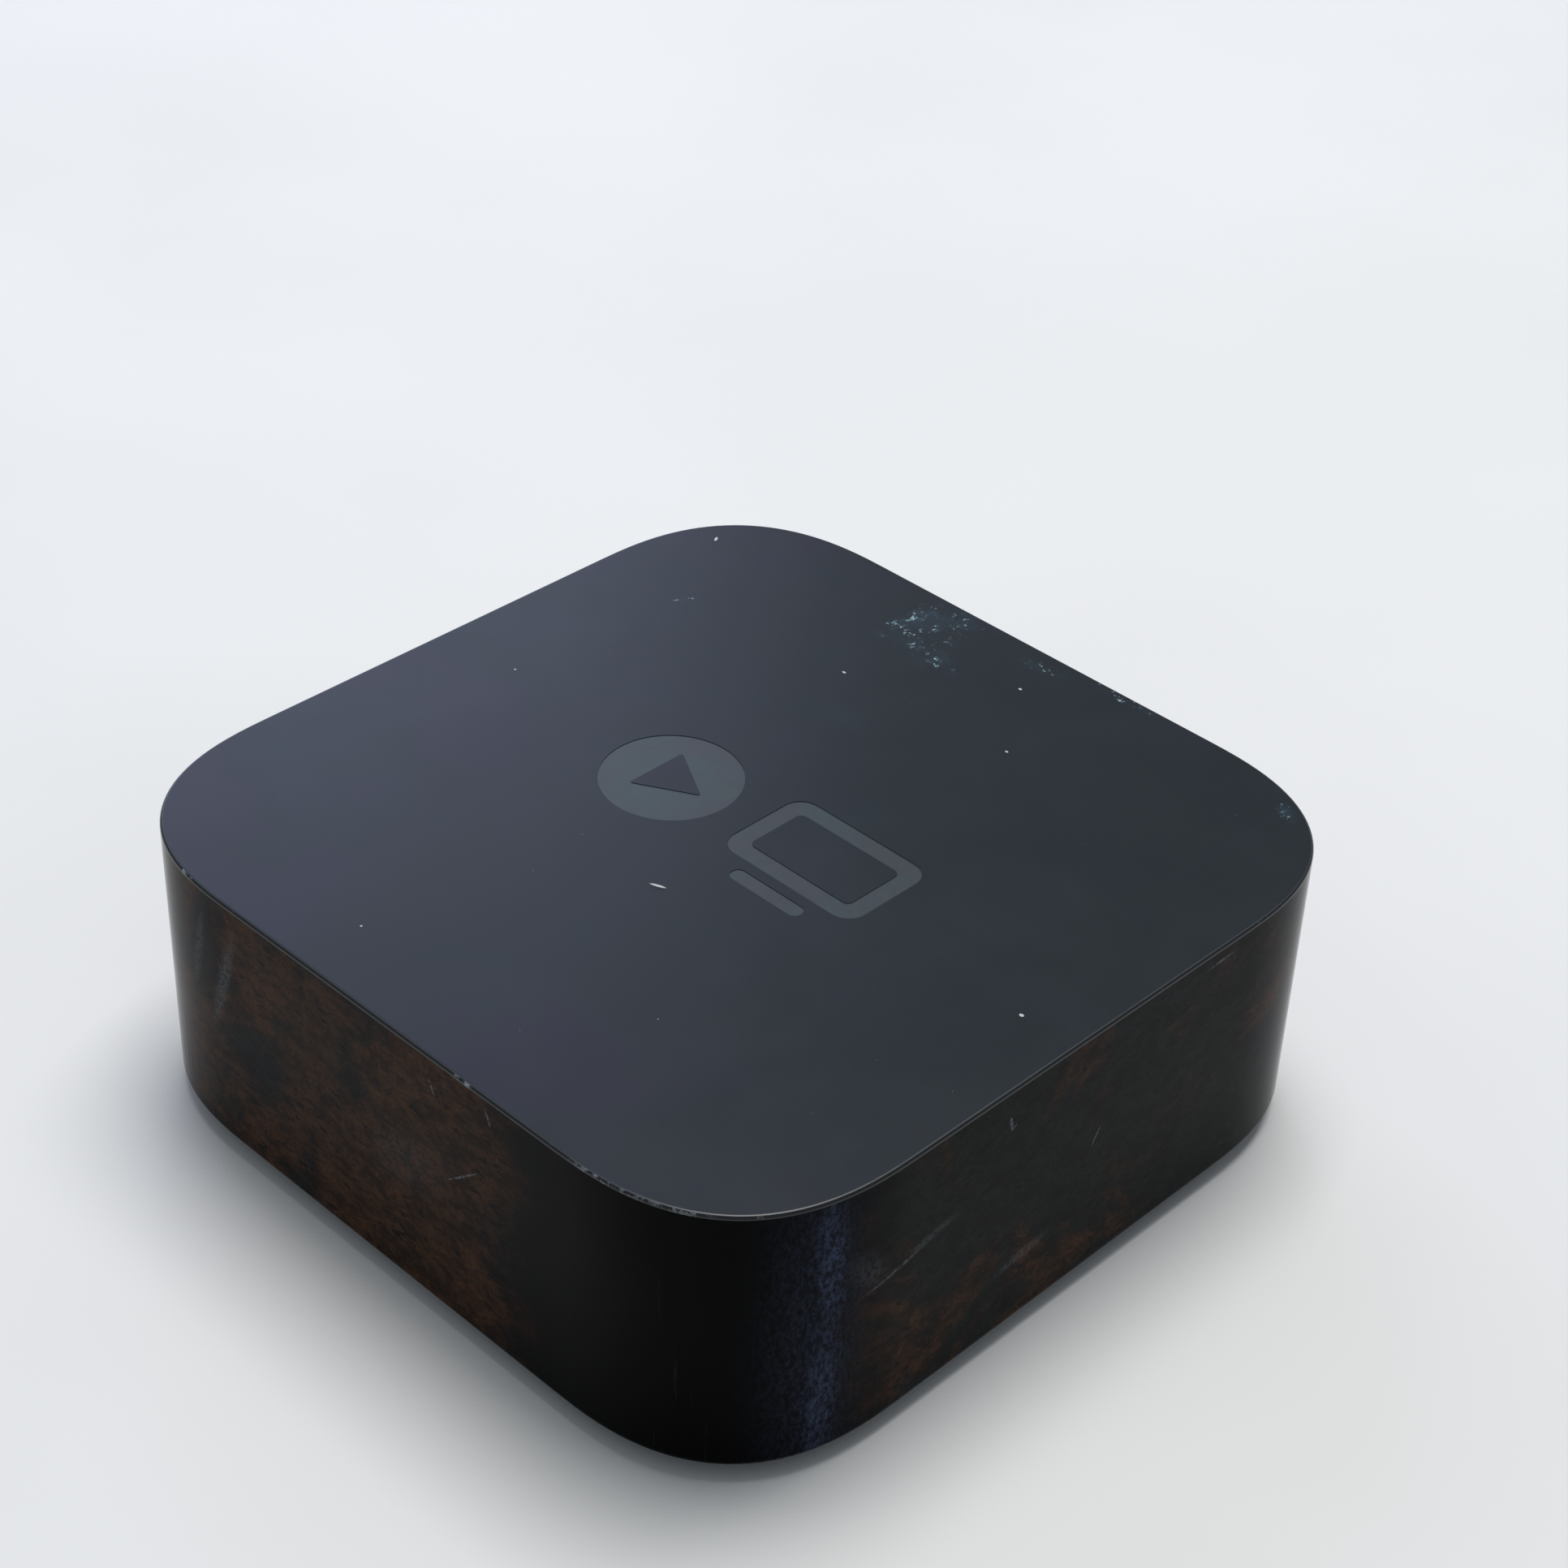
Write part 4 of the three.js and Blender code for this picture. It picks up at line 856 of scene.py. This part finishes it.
def vent_slots():
    """The base cover's ring of slots, wider at the underside."""
    slots = bmesh.new()
    for i in range(VENT_COUNT):
        turn = 2 * math.pi * i / VENT_COUNT
        ring = [turned(x, y, turn) for x, y in rounded(4.2, 2.4, 1.19, VENT_RADIUS, 0.0, 6)]
        cx, cy = turned(VENT_RADIUS, 0.0, turn)
        wide = [(x + (x - cx) * 0.12, y + (y - cy) * 0.12) for x, y in ring]
        levels = (BASE_BOTTOM - 0.5, BASE_BOTTOM, BASE_BOTTOM + 0.2, BASE_TOP + 1.4)
        upright(list(zip((wide, wide, ring, ring), levels)), slots)
    return slots


def snap_hook(along):
    """A hook that stands on the base cover behind the rear wall, before it is turned to its own wall."""
    bm = bmesh.new()
    face = HALF - WALL - 0.9
    profile = [
        (face - 1.2, 4.1), (face, 4.1), (face, 8.1), (face + 0.7, 8.3),
        (face + 0.7, 8.5), (face, 9.0), (face - 1.2, 9.0),
    ]
    near, far = ([bm.verts.new((x, y, z)) for y, z in profile] for x in (along - 3.5, along + 3.5))
    bm.faces.new(near)
    bm.faces.new(list(reversed(far)))
    for i in range(len(profile)):
        k = (i + 1) % len(profile)
        bm.faces.new((near[k], near[i], far[i], far[k]))
    return bm


def build_base():
    """The base cover: a plate with a ring of slots, a raised seat for the foot and eight snap hooks."""
    outer = corner_curve(RIM_WALL + 0.3, 22)
    inner = corner_curve(RIM_WALL + 0.6, 22)
    layers = [(inner, BASE_BOTTOM), (outer, BASE_BOTTOM + 0.3), (outer, BASE_TOP)]
    plate = link("base_cover_plate", upright(layers))
    combine(plate, [link("cut_slots", vent_slots())])
    seat = [
        (0, FOOT_HEIGHT), (38.3, FOOT_HEIGHT), (38.6, FOOT_HEIGHT + 0.3), (38.6, BASE_BOTTOM - 0.3),
        (38.9, BASE_BOTTOM), (38.9, BASE_BOTTOM + 0.3), (0, BASE_BOTTOM + 0.3),
    ]
    parts = [link("seat", lathe(seat, 160))]
    for turn in range(4):
        for along in CLIP_OFFSETS:
            bm = snap_hook(along)
            quarter_turn(bm, turn)
            parts.append(link("hook", bm))
    combine(plate, parts, "UNION")
    smooth(plate, 30)
    dress(plate, moulded("base_moulded", (0.014, 0.0145, 0.016), 0.52, 5.0, 0.02, 0.2, 0.05))
    place(plate, "base_plastic", "base_cover")


def foot_finish():
    """Matt rubber with a fine stipple and a little lint."""
    m = Material("foot_rubber_matt")
    stipple, _ = m.cells(1.6)
    patches = m.noise(0.1, 3)
    lint = m.ramp(m.noise(1.4, 6, 0.75), 0.66, 0.74, 0.0, 0.5)
    base = m.mix(m.ramp(patches, 0.3, 0.7), (0.012, 0.012, 0.013), (0.020, 0.020, 0.021))
    m.set(base_color=m.mix(lint, base, (0.16, 0.155, 0.15)), roughness=m.ramp(stipple, 0.1, 0.5, 0.62, 0.85))
    m.set(normal=m.bump(stipple, 0.04, 0.5))
    return m.material


def build_foot():
    """The rubber foot: a soft-edged disc with a shallow groove near its rim."""
    middle = FOOT_RADIUS - FOOT_EDGE
    turns = [math.radians(a) for a in range(-90, 1, 15)]
    rim = [(middle + FOOT_EDGE * math.cos(a), FOOT_EDGE + FOOT_EDGE * math.sin(a)) for a in turns]
    groove = [(34.2, 0), (34.4, 0.12), (34.7, 0.12), (34.9, 0)]
    profile = [(0, 0)] + groove + rim + [(FOOT_RADIUS, FOOT_HEIGHT), (0, FOOT_HEIGHT)]
    foot = link("foot_disc", lathe(profile, 180))
    smooth(foot, 40)
    dress(foot, foot_finish())
    place(foot, "foot_rubber", "foot_pad")


# ---------------- sockets

SOCKET_BLACK = (0.0085, 0.0085, 0.009)
GOLD = (0.72, 0.47, 0.15)


def wire_places():
    """Where the network jack's wires are along X."""
    return [NETWORK[0] + WIRE_PITCH * (i - (WIRE_COUNT - 1) / 2) for i in range(WIRE_COUNT)]


def build_network_jack():
    """The plastic insert of the network jack, with a groove for each wire."""
    x0, z0 = NETWORK
    insert = link("network_jack_insert", box(JACK_SIZE, (x0, FACE - JACK_SIZE[1] / 2, z0), soft=0.25))
    near, wide = network_outline(), network_outline(0.3)
    mouth = rearward([(near, FACE - 12.5), (near, FACE - 0.4), (wide, FACE + 0.02), (wide, FACE + 1)])
    slot = box((8.6, 3.6, 1.5), (x0, FACE - 3.8, z0 + 4.55))
    grooves = bmesh.new()
    for x in wire_places():
        box((0.56, 7.0, 0.45), (x, FACE - 8.6, z0 + 3.95), grooves)
    combine(insert, [link("cut_mouth", mouth), link("cut_slot", slot), link("cut_grooves", grooves)])
    smooth(insert, 30)
    dress(insert, moulded("jack_plastic", SOCKET_BLACK, 0.38, 5.0, 0.008, 0.15, 0.03))
    place(insert, "socket_plastic", "network_socket_insert")


def build_network_wires():
    """Eight bent spring wires and the bar that holds them, as one piece."""
    x0, z0 = NETWORK
    wires = bmesh.new()
    roof = z0 + 4.3
    bend = [(4.6, 0.55), (4.5, 0.3), (4.6, 0.05), (4.9, -0.18)]
    slope = [(5.2 + t, -0.32 - 0.43 * t) for t in (1.0, 2.0, 3.0, 4.0)]
    tip = [(9.8, -2.2), (10.3, -2.15)]
    for x in wire_places():
        sweep([(x, FACE - back, roof + rise) for back, rise in bend + slope + tip], WIRE_RADIUS, 8, wires)
    wires = link("network_jack_wires", wires)
    bar = link("bar", box((8.0, 1.5, 0.6), (x0, FACE - 4.25, z0 + 4.62), soft=0.08))
    combine(wires, [bar], "UNION")
    smooth(wires, 40)
    dress(wires, metal("contact_gold_flash", GOLD, 0.22, scale=6.0))
    place(wires, "contact_gold", "network_socket_contacts")


def build_video_shell():
    """The digital video socket's bent steel shell."""
    outer = [(video_outline(0.0), VIDEO_BACK), (video_outline(0.0), FACE - 0.12), (video_outline(0.1), FACE)]
    shell = link("video_port_shell", rearward(outer))
    inner = rearward([
        (video_outline(0.35, 0.6), VIDEO_BACK + 0.35), (video_outline(0.35, 0.6), FACE - 0.25),
        (video_outline(0.15, 0.7), FACE + 0.05), (video_outline(0.15, 0.7), FACE + 1),
    ])
    combine(shell, [link("cut_inner", inner)])
    smooth(shell, 32)
    dress(shell, metal("shell_steel", (0.62, 0.61, 0.59), 0.24, (1, 0.15, 1), 5.0, 0.15))
    place(shell, "shield_steel", "video_socket_shell")


def build_video_tongue():
    """The digital video socket's plastic floor and the tongue that stands on it."""
    x0, z0 = VIDEO
    plug = video_outline(0.47, 0.5)
    tongue = link("video_port_tongue", rearward([(plug, VIDEO_ROOT), (plug, VIDEO_ROOT + 2.4)]))
    section = rounded(11.4, 1.0, 0.15, x0, z0 + 0.2, 3)
    end = rounded(11.0, 0.6, 0.15, x0, z0 + 0.2, 3)
    blade = rearward([(section, VIDEO_ROOT + 2.0), (section, VIDEO_ROOT + 10.6), (end, VIDEO_ROOT + 11.0)])
    combine(tongue, [link("blade", blade)], "UNION")
    smooth(tongue, 32)
    dress(tongue, moulded("tongue_plastic", (0.012, 0.012, 0.013), 0.35, 6.0, 0.005, 0.15))
    place(tongue, "socket_plastic", "video_socket_tongue")


def build_video_contacts():
    """The tongue's flat contacts: ten above and nine below, as one piece."""
    x0, z0 = VIDEO
    strips = bmesh.new()
    for count, level in ((10, z0 + 0.78), (9, z0 - 0.38)):
        for i in range(count):
            x = x0 + i - (count - 1) / 2
            box((0.45, 7.0, 0.14), (x, VIDEO_ROOT + 6.2, level), strips, 0.04)
    strips = link("video_port_contacts", strips)
    smooth(strips, 40)
    dress(strips, metal("strip_gold_flash", GOLD, 0.22, scale=6.0))
    place(strips, "contact_gold", "video_socket_contacts")


def rearward_turned(profile, x, y, z):
    """A body turned about an axis along Y, from (radius, distance) pairs."""
    bm = lathe(profile, 40)
    bmesh.ops.rotate(bm, cent=(0, 0, 0), matrix=Matrix.Rotation(-math.pi / 2, 3, "X"), verts=bm.verts)
    bmesh.ops.translate(bm, vec=(x, y, z), verts=bm.verts)
    return bm


def inlet_block():
    """The moulded block: a two-lobed well, a collar round each pin, and the pins' bores."""
    x0, z0 = MAINS
    centre = (x0, FACE - INLET_SIZE[1] / 2, z0)
    block = link("mains_inlet_block", box(INLET_SIZE, centre, soft=0.3))
    near, wide = mains_outline(), mains_outline(0.3)
    well = rearward([(near, FACE - 10), (near, FACE - 0.5), (wide, FACE + 0.02), (wide, FACE + 1)])
    combine(block, [link("cut_well", well)])
    collar = [(0, 0), (1.95, 0), (1.95, 0.6), (1.75, 0.8), (1.3, 0.8), (1.3, 0.3), (0, 0.3)]
    leg_room = [(0, z0 - 0.9), (0.92, z0 - 0.9), (0.92, 22), (0, 22)]
    collars, bores = [], []
    for x in (x0 - PIN_OFFSET, x0 + PIN_OFFSET):
        collars.append(link("collar", rearward_turned(collar, x, FACE - 10.2, z0)))
        bore = bmesh.new()
        sweep([(x, FACE - 14.2, z0), (x, FACE - 8, z0)], 1.25, 32, bore)
        bores.append(link("cut_bore", bore))
        bores.append(link("cut_leg", lathe(leg_room, 26, x, PIN_LEG_Y)))
    combine(block, collars, "UNION")
    return combine(block, bores)


def inlet_pin(name, x, z):
    """A round-nosed pin and the leg that goes up from its inner end."""
    tip = FACE - 1.2 - 1.06
    turns = [math.radians(a) for a in range(0, 90, 15)]
    nose = [(PIN_RADIUS * math.cos(a), tip + PIN_RADIUS * math.sin(a) * 0.9) for a in turns]
    root = [(0, FACE - 13.5), (1.1, FACE - 13.5), (PIN_RADIUS, FACE - 13.4)]
    pin = link(name, rearward_turned(root + nose + [(0, tip + 1.06)], x, 0, z))
    leg = lathe([(0, z), (0.75, z), (0.75, 22.9), (0.55, 23.2), (0, 23.2)], 24, x, PIN_LEG_Y)
    return combine(pin, [link("leg", leg)], "UNION")


def build_mains_inlet():
    block = inlet_block()
    smooth(block, 30)
    dress(block, moulded("inlet_plastic", SOCKET_BLACK, 0.36, 5.0, 0.01, 0.15, 0.04))
    place(block, "socket_plastic", "mains_inlet")


def build_mains_pins():
    x0, z0 = MAINS
    steel = metal("pin_nickel", (0.68, 0.66, 0.62), 0.2, (1, 0.2, 1), 4.0, 0.2)
    for side, name in ((-1, "mains_pin_left"), (1, "mains_pin_right")):
        pin = inlet_pin(name + "_turned", x0 + side * PIN_OFFSET, z0)
        smooth(pin, 35)
        dress(pin, steel)
        place(pin, "bright_steel", name)


# ---------------- the inner pieces


def inner_finishes():
    """One finish for each material slot of the inner pieces."""
    logic_green, logic_track, logic_core = (0.006, 0.026, 0.012), (0.010, 0.046, 0.020), (0.20, 0.17, 0.09)
    green, track, core = (0.010, 0.060, 0.025), (0.016, 0.095, 0.038), (0.24, 0.20, 0.10)
    return {
        "flex_film": metal("flex_copper_film", (0.42, 0.22, 0.09), 0.42, scale=2.0, tarnish=0.3),
        "cable_jacket": moulded("coax_jacket", (0.010, 0.010, 0.011), 0.4, 8.0, 0.006),
        "fan_plastic": moulded("fan_moulded", (0.012, 0.0125, 0.014), 0.42, 5.0, 0.012),
        "bearing_bronze": metal("bearing_sintered", (0.42, 0.24, 0.10), 0.45, scale=6.0, tarnish=0.35),
        "bright_steel": metal("steel_ground", (0.62, 0.62, 0.63), 0.2, (4, 4, 0.3), 3.0, 0.1),
        "screw_steel": metal("screw_zinc", (0.55, 0.56, 0.57), 0.3, (1, 1, 6), 2.0, 0.25),
        "shield_steel": metal("shield_tinned", (0.60, 0.60, 0.58), 0.34, scale=1.2, tarnish=0.25),
        "motor_iron": wound("motor_laminations", (0.42, 0.42, 0.43), (0.05, 0.05, 0.05), 1.6, 0.4, 1.0),
        "copper_wire": wound("copper_turns", (0.62, 0.22, 0.08), (0.10, 0.03, 0.01), 1.3, 0.3, 1.0),
        "ferrite": moulded("ferrite_sintered", (0.022, 0.022, 0.025), 0.6, 3.0, 0.02, 0.2),
        "sink_aluminium": metal(
            "sink_die_cast", (0.60, 0.61, 0.62), 0.45, scale=2.5, tarnish=0.15, depth=0.015,
        ),
        "thermal_silicone": moulded("pad_silicone", (0.19, 0.22, 0.25), 0.75, 3.0, 0.02),
        "logic_laminate": laminate("logic_mask", logic_green, logic_track, logic_core),
        "supply_laminate": laminate("supply_mask", green, track, core),
        "chip_resin": moulded("chip_epoxy", (0.008, 0.008, 0.0085), 0.5, 4.0, 0.012),
        "socket_plastic": moulded("socket_moulded", (0.009, 0.009, 0.010), 0.4, 5.0, 0.01),
        "insulator_film": moulded("insulator_sheet", (0.62, 0.62, 0.57), 0.45, 2.0, 0.01, 0.06),
        "yellow_film": wound("tape_yellow", (0.62, 0.42, 0.03), (0.36, 0.22, 0.01), 0.5, 0.4),
        "capacitor_sleeve": moulded("sleeve_shrunk", (0.012, 0.020, 0.050), 0.25, 2.0, 0.008, 0.15),
        "post_brass": metal("post_turned", (0.70, 0.50, 0.20), 0.25, (1, 1, 8), 2.0, 0.2),
        "lamp_resin": moulded("lamp_clear", (0.75, 0.77, 0.80), 0.15, 2.0, 0.003, 0.05),
    }


ROTOR = ("fan_rotor", "fan_magnet", "fan_shaft")
BUILT_ABOVE = (
    "housing", "base_cover", "foot_pad", "network_socket_insert", "network_socket_contacts",
    "video_socket_shell", "video_socket_tongue", "video_socket_contacts",
    "mains_inlet", "mains_pin_left", "mains_pin_right",
)
KEPT_AS_IT_IS = "fan_frame"    # rounding its edges leaves a faulty edge
# The radius that each inner piece's edges are rounded to, and the radius of those not named.
PLAIN_EDGE = 0.1
EDGE_RADIUS = {
    "antenna_left": 0.02, "antenna_right": 0.02, "fan_cable": 0.03, "fan_rotor": 0.08,
    "network_socket_shell": 0.08, "heat_sink": 0.10, "processor_shield": 0.12, "supply_insulator": 0.12,
    "fan_windings": 0.25, "transformer_core": 0.25, "transformer_winding": 0.3, "output_capacitor": 0.35,
    "line_filter_choke": 0.35, "line_filter_capacitor": 0.4,
    "bulk_capacitor_1": 0.45, "bulk_capacitor_2": 0.45,
}
SAME_CORNER = 1e-6     # metres
FLAT_ANGLE = math.radians(0.6)
SHARP_ANGLE = math.radians(42)
CRISP_ANGLE = 36       # degrees


def soften(source, name, edge):
    """A finished copy of a CAD solid: flat faces joined up, edges rounded and curves shaded smooth."""
    bm = bmesh.new()
    bm.from_mesh(source.data)
    bmesh.ops.remove_doubles(bm, verts=bm.verts, dist=SAME_CORNER)
    bmesh.ops.dissolve_limit(bm, angle_limit=FLAT_ANGLE, verts=bm.verts, edges=bm.edges)
    sharp = [e for e in bm.edges if len(e.link_faces) == 2 and e.calc_face_angle(0.0) > SHARP_ANGLE]
    bmesh.ops.bevel(
        bm, geom=sharp, offset=edge * MM, segments=2, profile=0.5, affect="EDGES", clamp_overlap=True,
    )
    mesh = bpy.data.meshes.new(name)
    bm.to_mesh(mesh)
    bm.free()
    obj = bpy.data.objects.new(name, mesh)
    bpy.context.scene.collection.objects.link(obj)
    return smooth(obj, CRISP_ANGLE)


def finish_inner_pieces():
    """Gives every node that isn't built above a softened copy, or only a material."""
    finishes = inner_finishes()
    for part in frame["record"]["subparts"]:
        name, slot = part["node"], part["material_slot"]
        if name in BUILT_ABOVE:
            continue
        source = frame["nodes"][name]
        if name == KEPT_AS_IT_IS:
            for held in source.material_slots:
                held.material = finishes[slot]
            continue
        piece = soften(source, name + "_finished", EDGE_RADIUS.get(name, PLAIN_EDGE))
        dress(piece, finishes[slot])
        place(piece, slot, name, body="rotor" if name in ROTOR else "case")


# ---------------- stage, camera and light

# The photograph's view: a camera fitted to the case's edges, in degrees and millimetres.
AZIMUTH, ELEVATION, ROLL = 43.294, 35.411, 2.391
DISTANCE = 367.733
TARGET = Vector((-17.221, 24.944, 18.497))
LENS = 72.08
FLOOR_REACH = 3000.0

# The lights' places and sizes are in metres, and their powers in watts.
WINDOW = {"centre": (-1.05, 0.48, 0.56), "aim": (0, 0, 0.02), "size": (0.80, 0.72), "power": 3.4}
WINDOW_COLOUR = (0.62, 0.69, 1.0)
OVERHEAD = {"centre": (-0.10, 0.30, 1.45), "aim": (0, 0, 0), "size": (0.8, 0.8), "power": 17.0}
OVERHEAD_COLOUR = (1.0, 0.99, 0.97)
SKY_COLOUR = (0.84, 0.92, 1.0, 1.0)
SKY_STRENGTH = 0.325


def build_stage():
    bm = bmesh.new()
    bmesh.ops.create_grid(bm, x_segments=2, y_segments=2, size=FLOOR_REACH)
    floor = link("floor", bm)
    m = Material("floor_pale")
    patches = m.ramp(m.noise(0.01, 3), 0.3, 0.7)
    m.set(base_color=m.mix(patches, (0.77, 0.77, 0.765), (0.80, 0.80, 0.795)), roughness=0.75)
    dress(floor, m.material)


def build_camera():
    az, el, roll = (math.radians(v) for v in (AZIMUTH, ELEVATION, ROLL))
    back = Vector((math.sin(az) * math.cos(el), -math.cos(az) * math.cos(el), math.sin(el)))
    right = Vector((math.cos(az), math.sin(az), 0.0))
    up = back.cross(right)
    turned_right = right * math.cos(roll) + up * math.sin(roll)
    turned_up = up * math.cos(roll) - right * math.sin(roll)
    data = bpy.data.cameras.new("camera")
    data.sensor_width = 36.0
    data.lens = LENS
    data.clip_start = 0.01
    data.clip_end = 20.0
    camera = bpy.data.objects.new("camera", data)
    matrix = Matrix((turned_right, turned_up, back)).transposed().to_4x4()
    matrix.translation = (TARGET + back * DISTANCE) * MM
    camera.matrix_world = matrix
    bpy.context.scene.collection.objects.link(camera)
    bpy.context.scene.camera = camera


def softbox(name, colour, centre, aim, size, power):
    """A rectangular soft light at centre that faces aim."""
    data = bpy.data.lights.new(name, "AREA")
    data.shape = "RECTANGLE"
    data.size, data.size_y = size
    data.energy = power
    data.color = colour
    light = bpy.data.objects.new(name, data)
    light.location = centre
    light.rotation_euler = (Vector(aim) - Vector(centre)).to_track_quat("-Z", "Y").to_euler()
    bpy.context.scene.collection.objects.link(light)


def build_light():
    scene = bpy.context.scene
    scene.view_settings.view_transform = "Standard"
    world = bpy.data.worlds.new("studio")
    scene.world = world
    world.use_nodes = True
    sky = world.node_tree.nodes["Background"].inputs
    sky["Color"].default_value = SKY_COLOUR
    sky["Strength"].default_value = SKY_STRENGTH
    softbox("window", WINDOW_COLOUR, **WINDOW)
    softbox("overhead", OVERHEAD_COLOUR, **OVERHEAD)


# ---------------- build

build_camera()
build_stage()
build_light()
build_housing()
build_base()
build_foot()
build_network_jack()
build_network_wires()
build_video_shell()
build_video_tongue()
build_video_contacts()
build_mains_inlet()
build_mains_pins()
finish_inner_pieces()

bpy.context.view_layer.update()
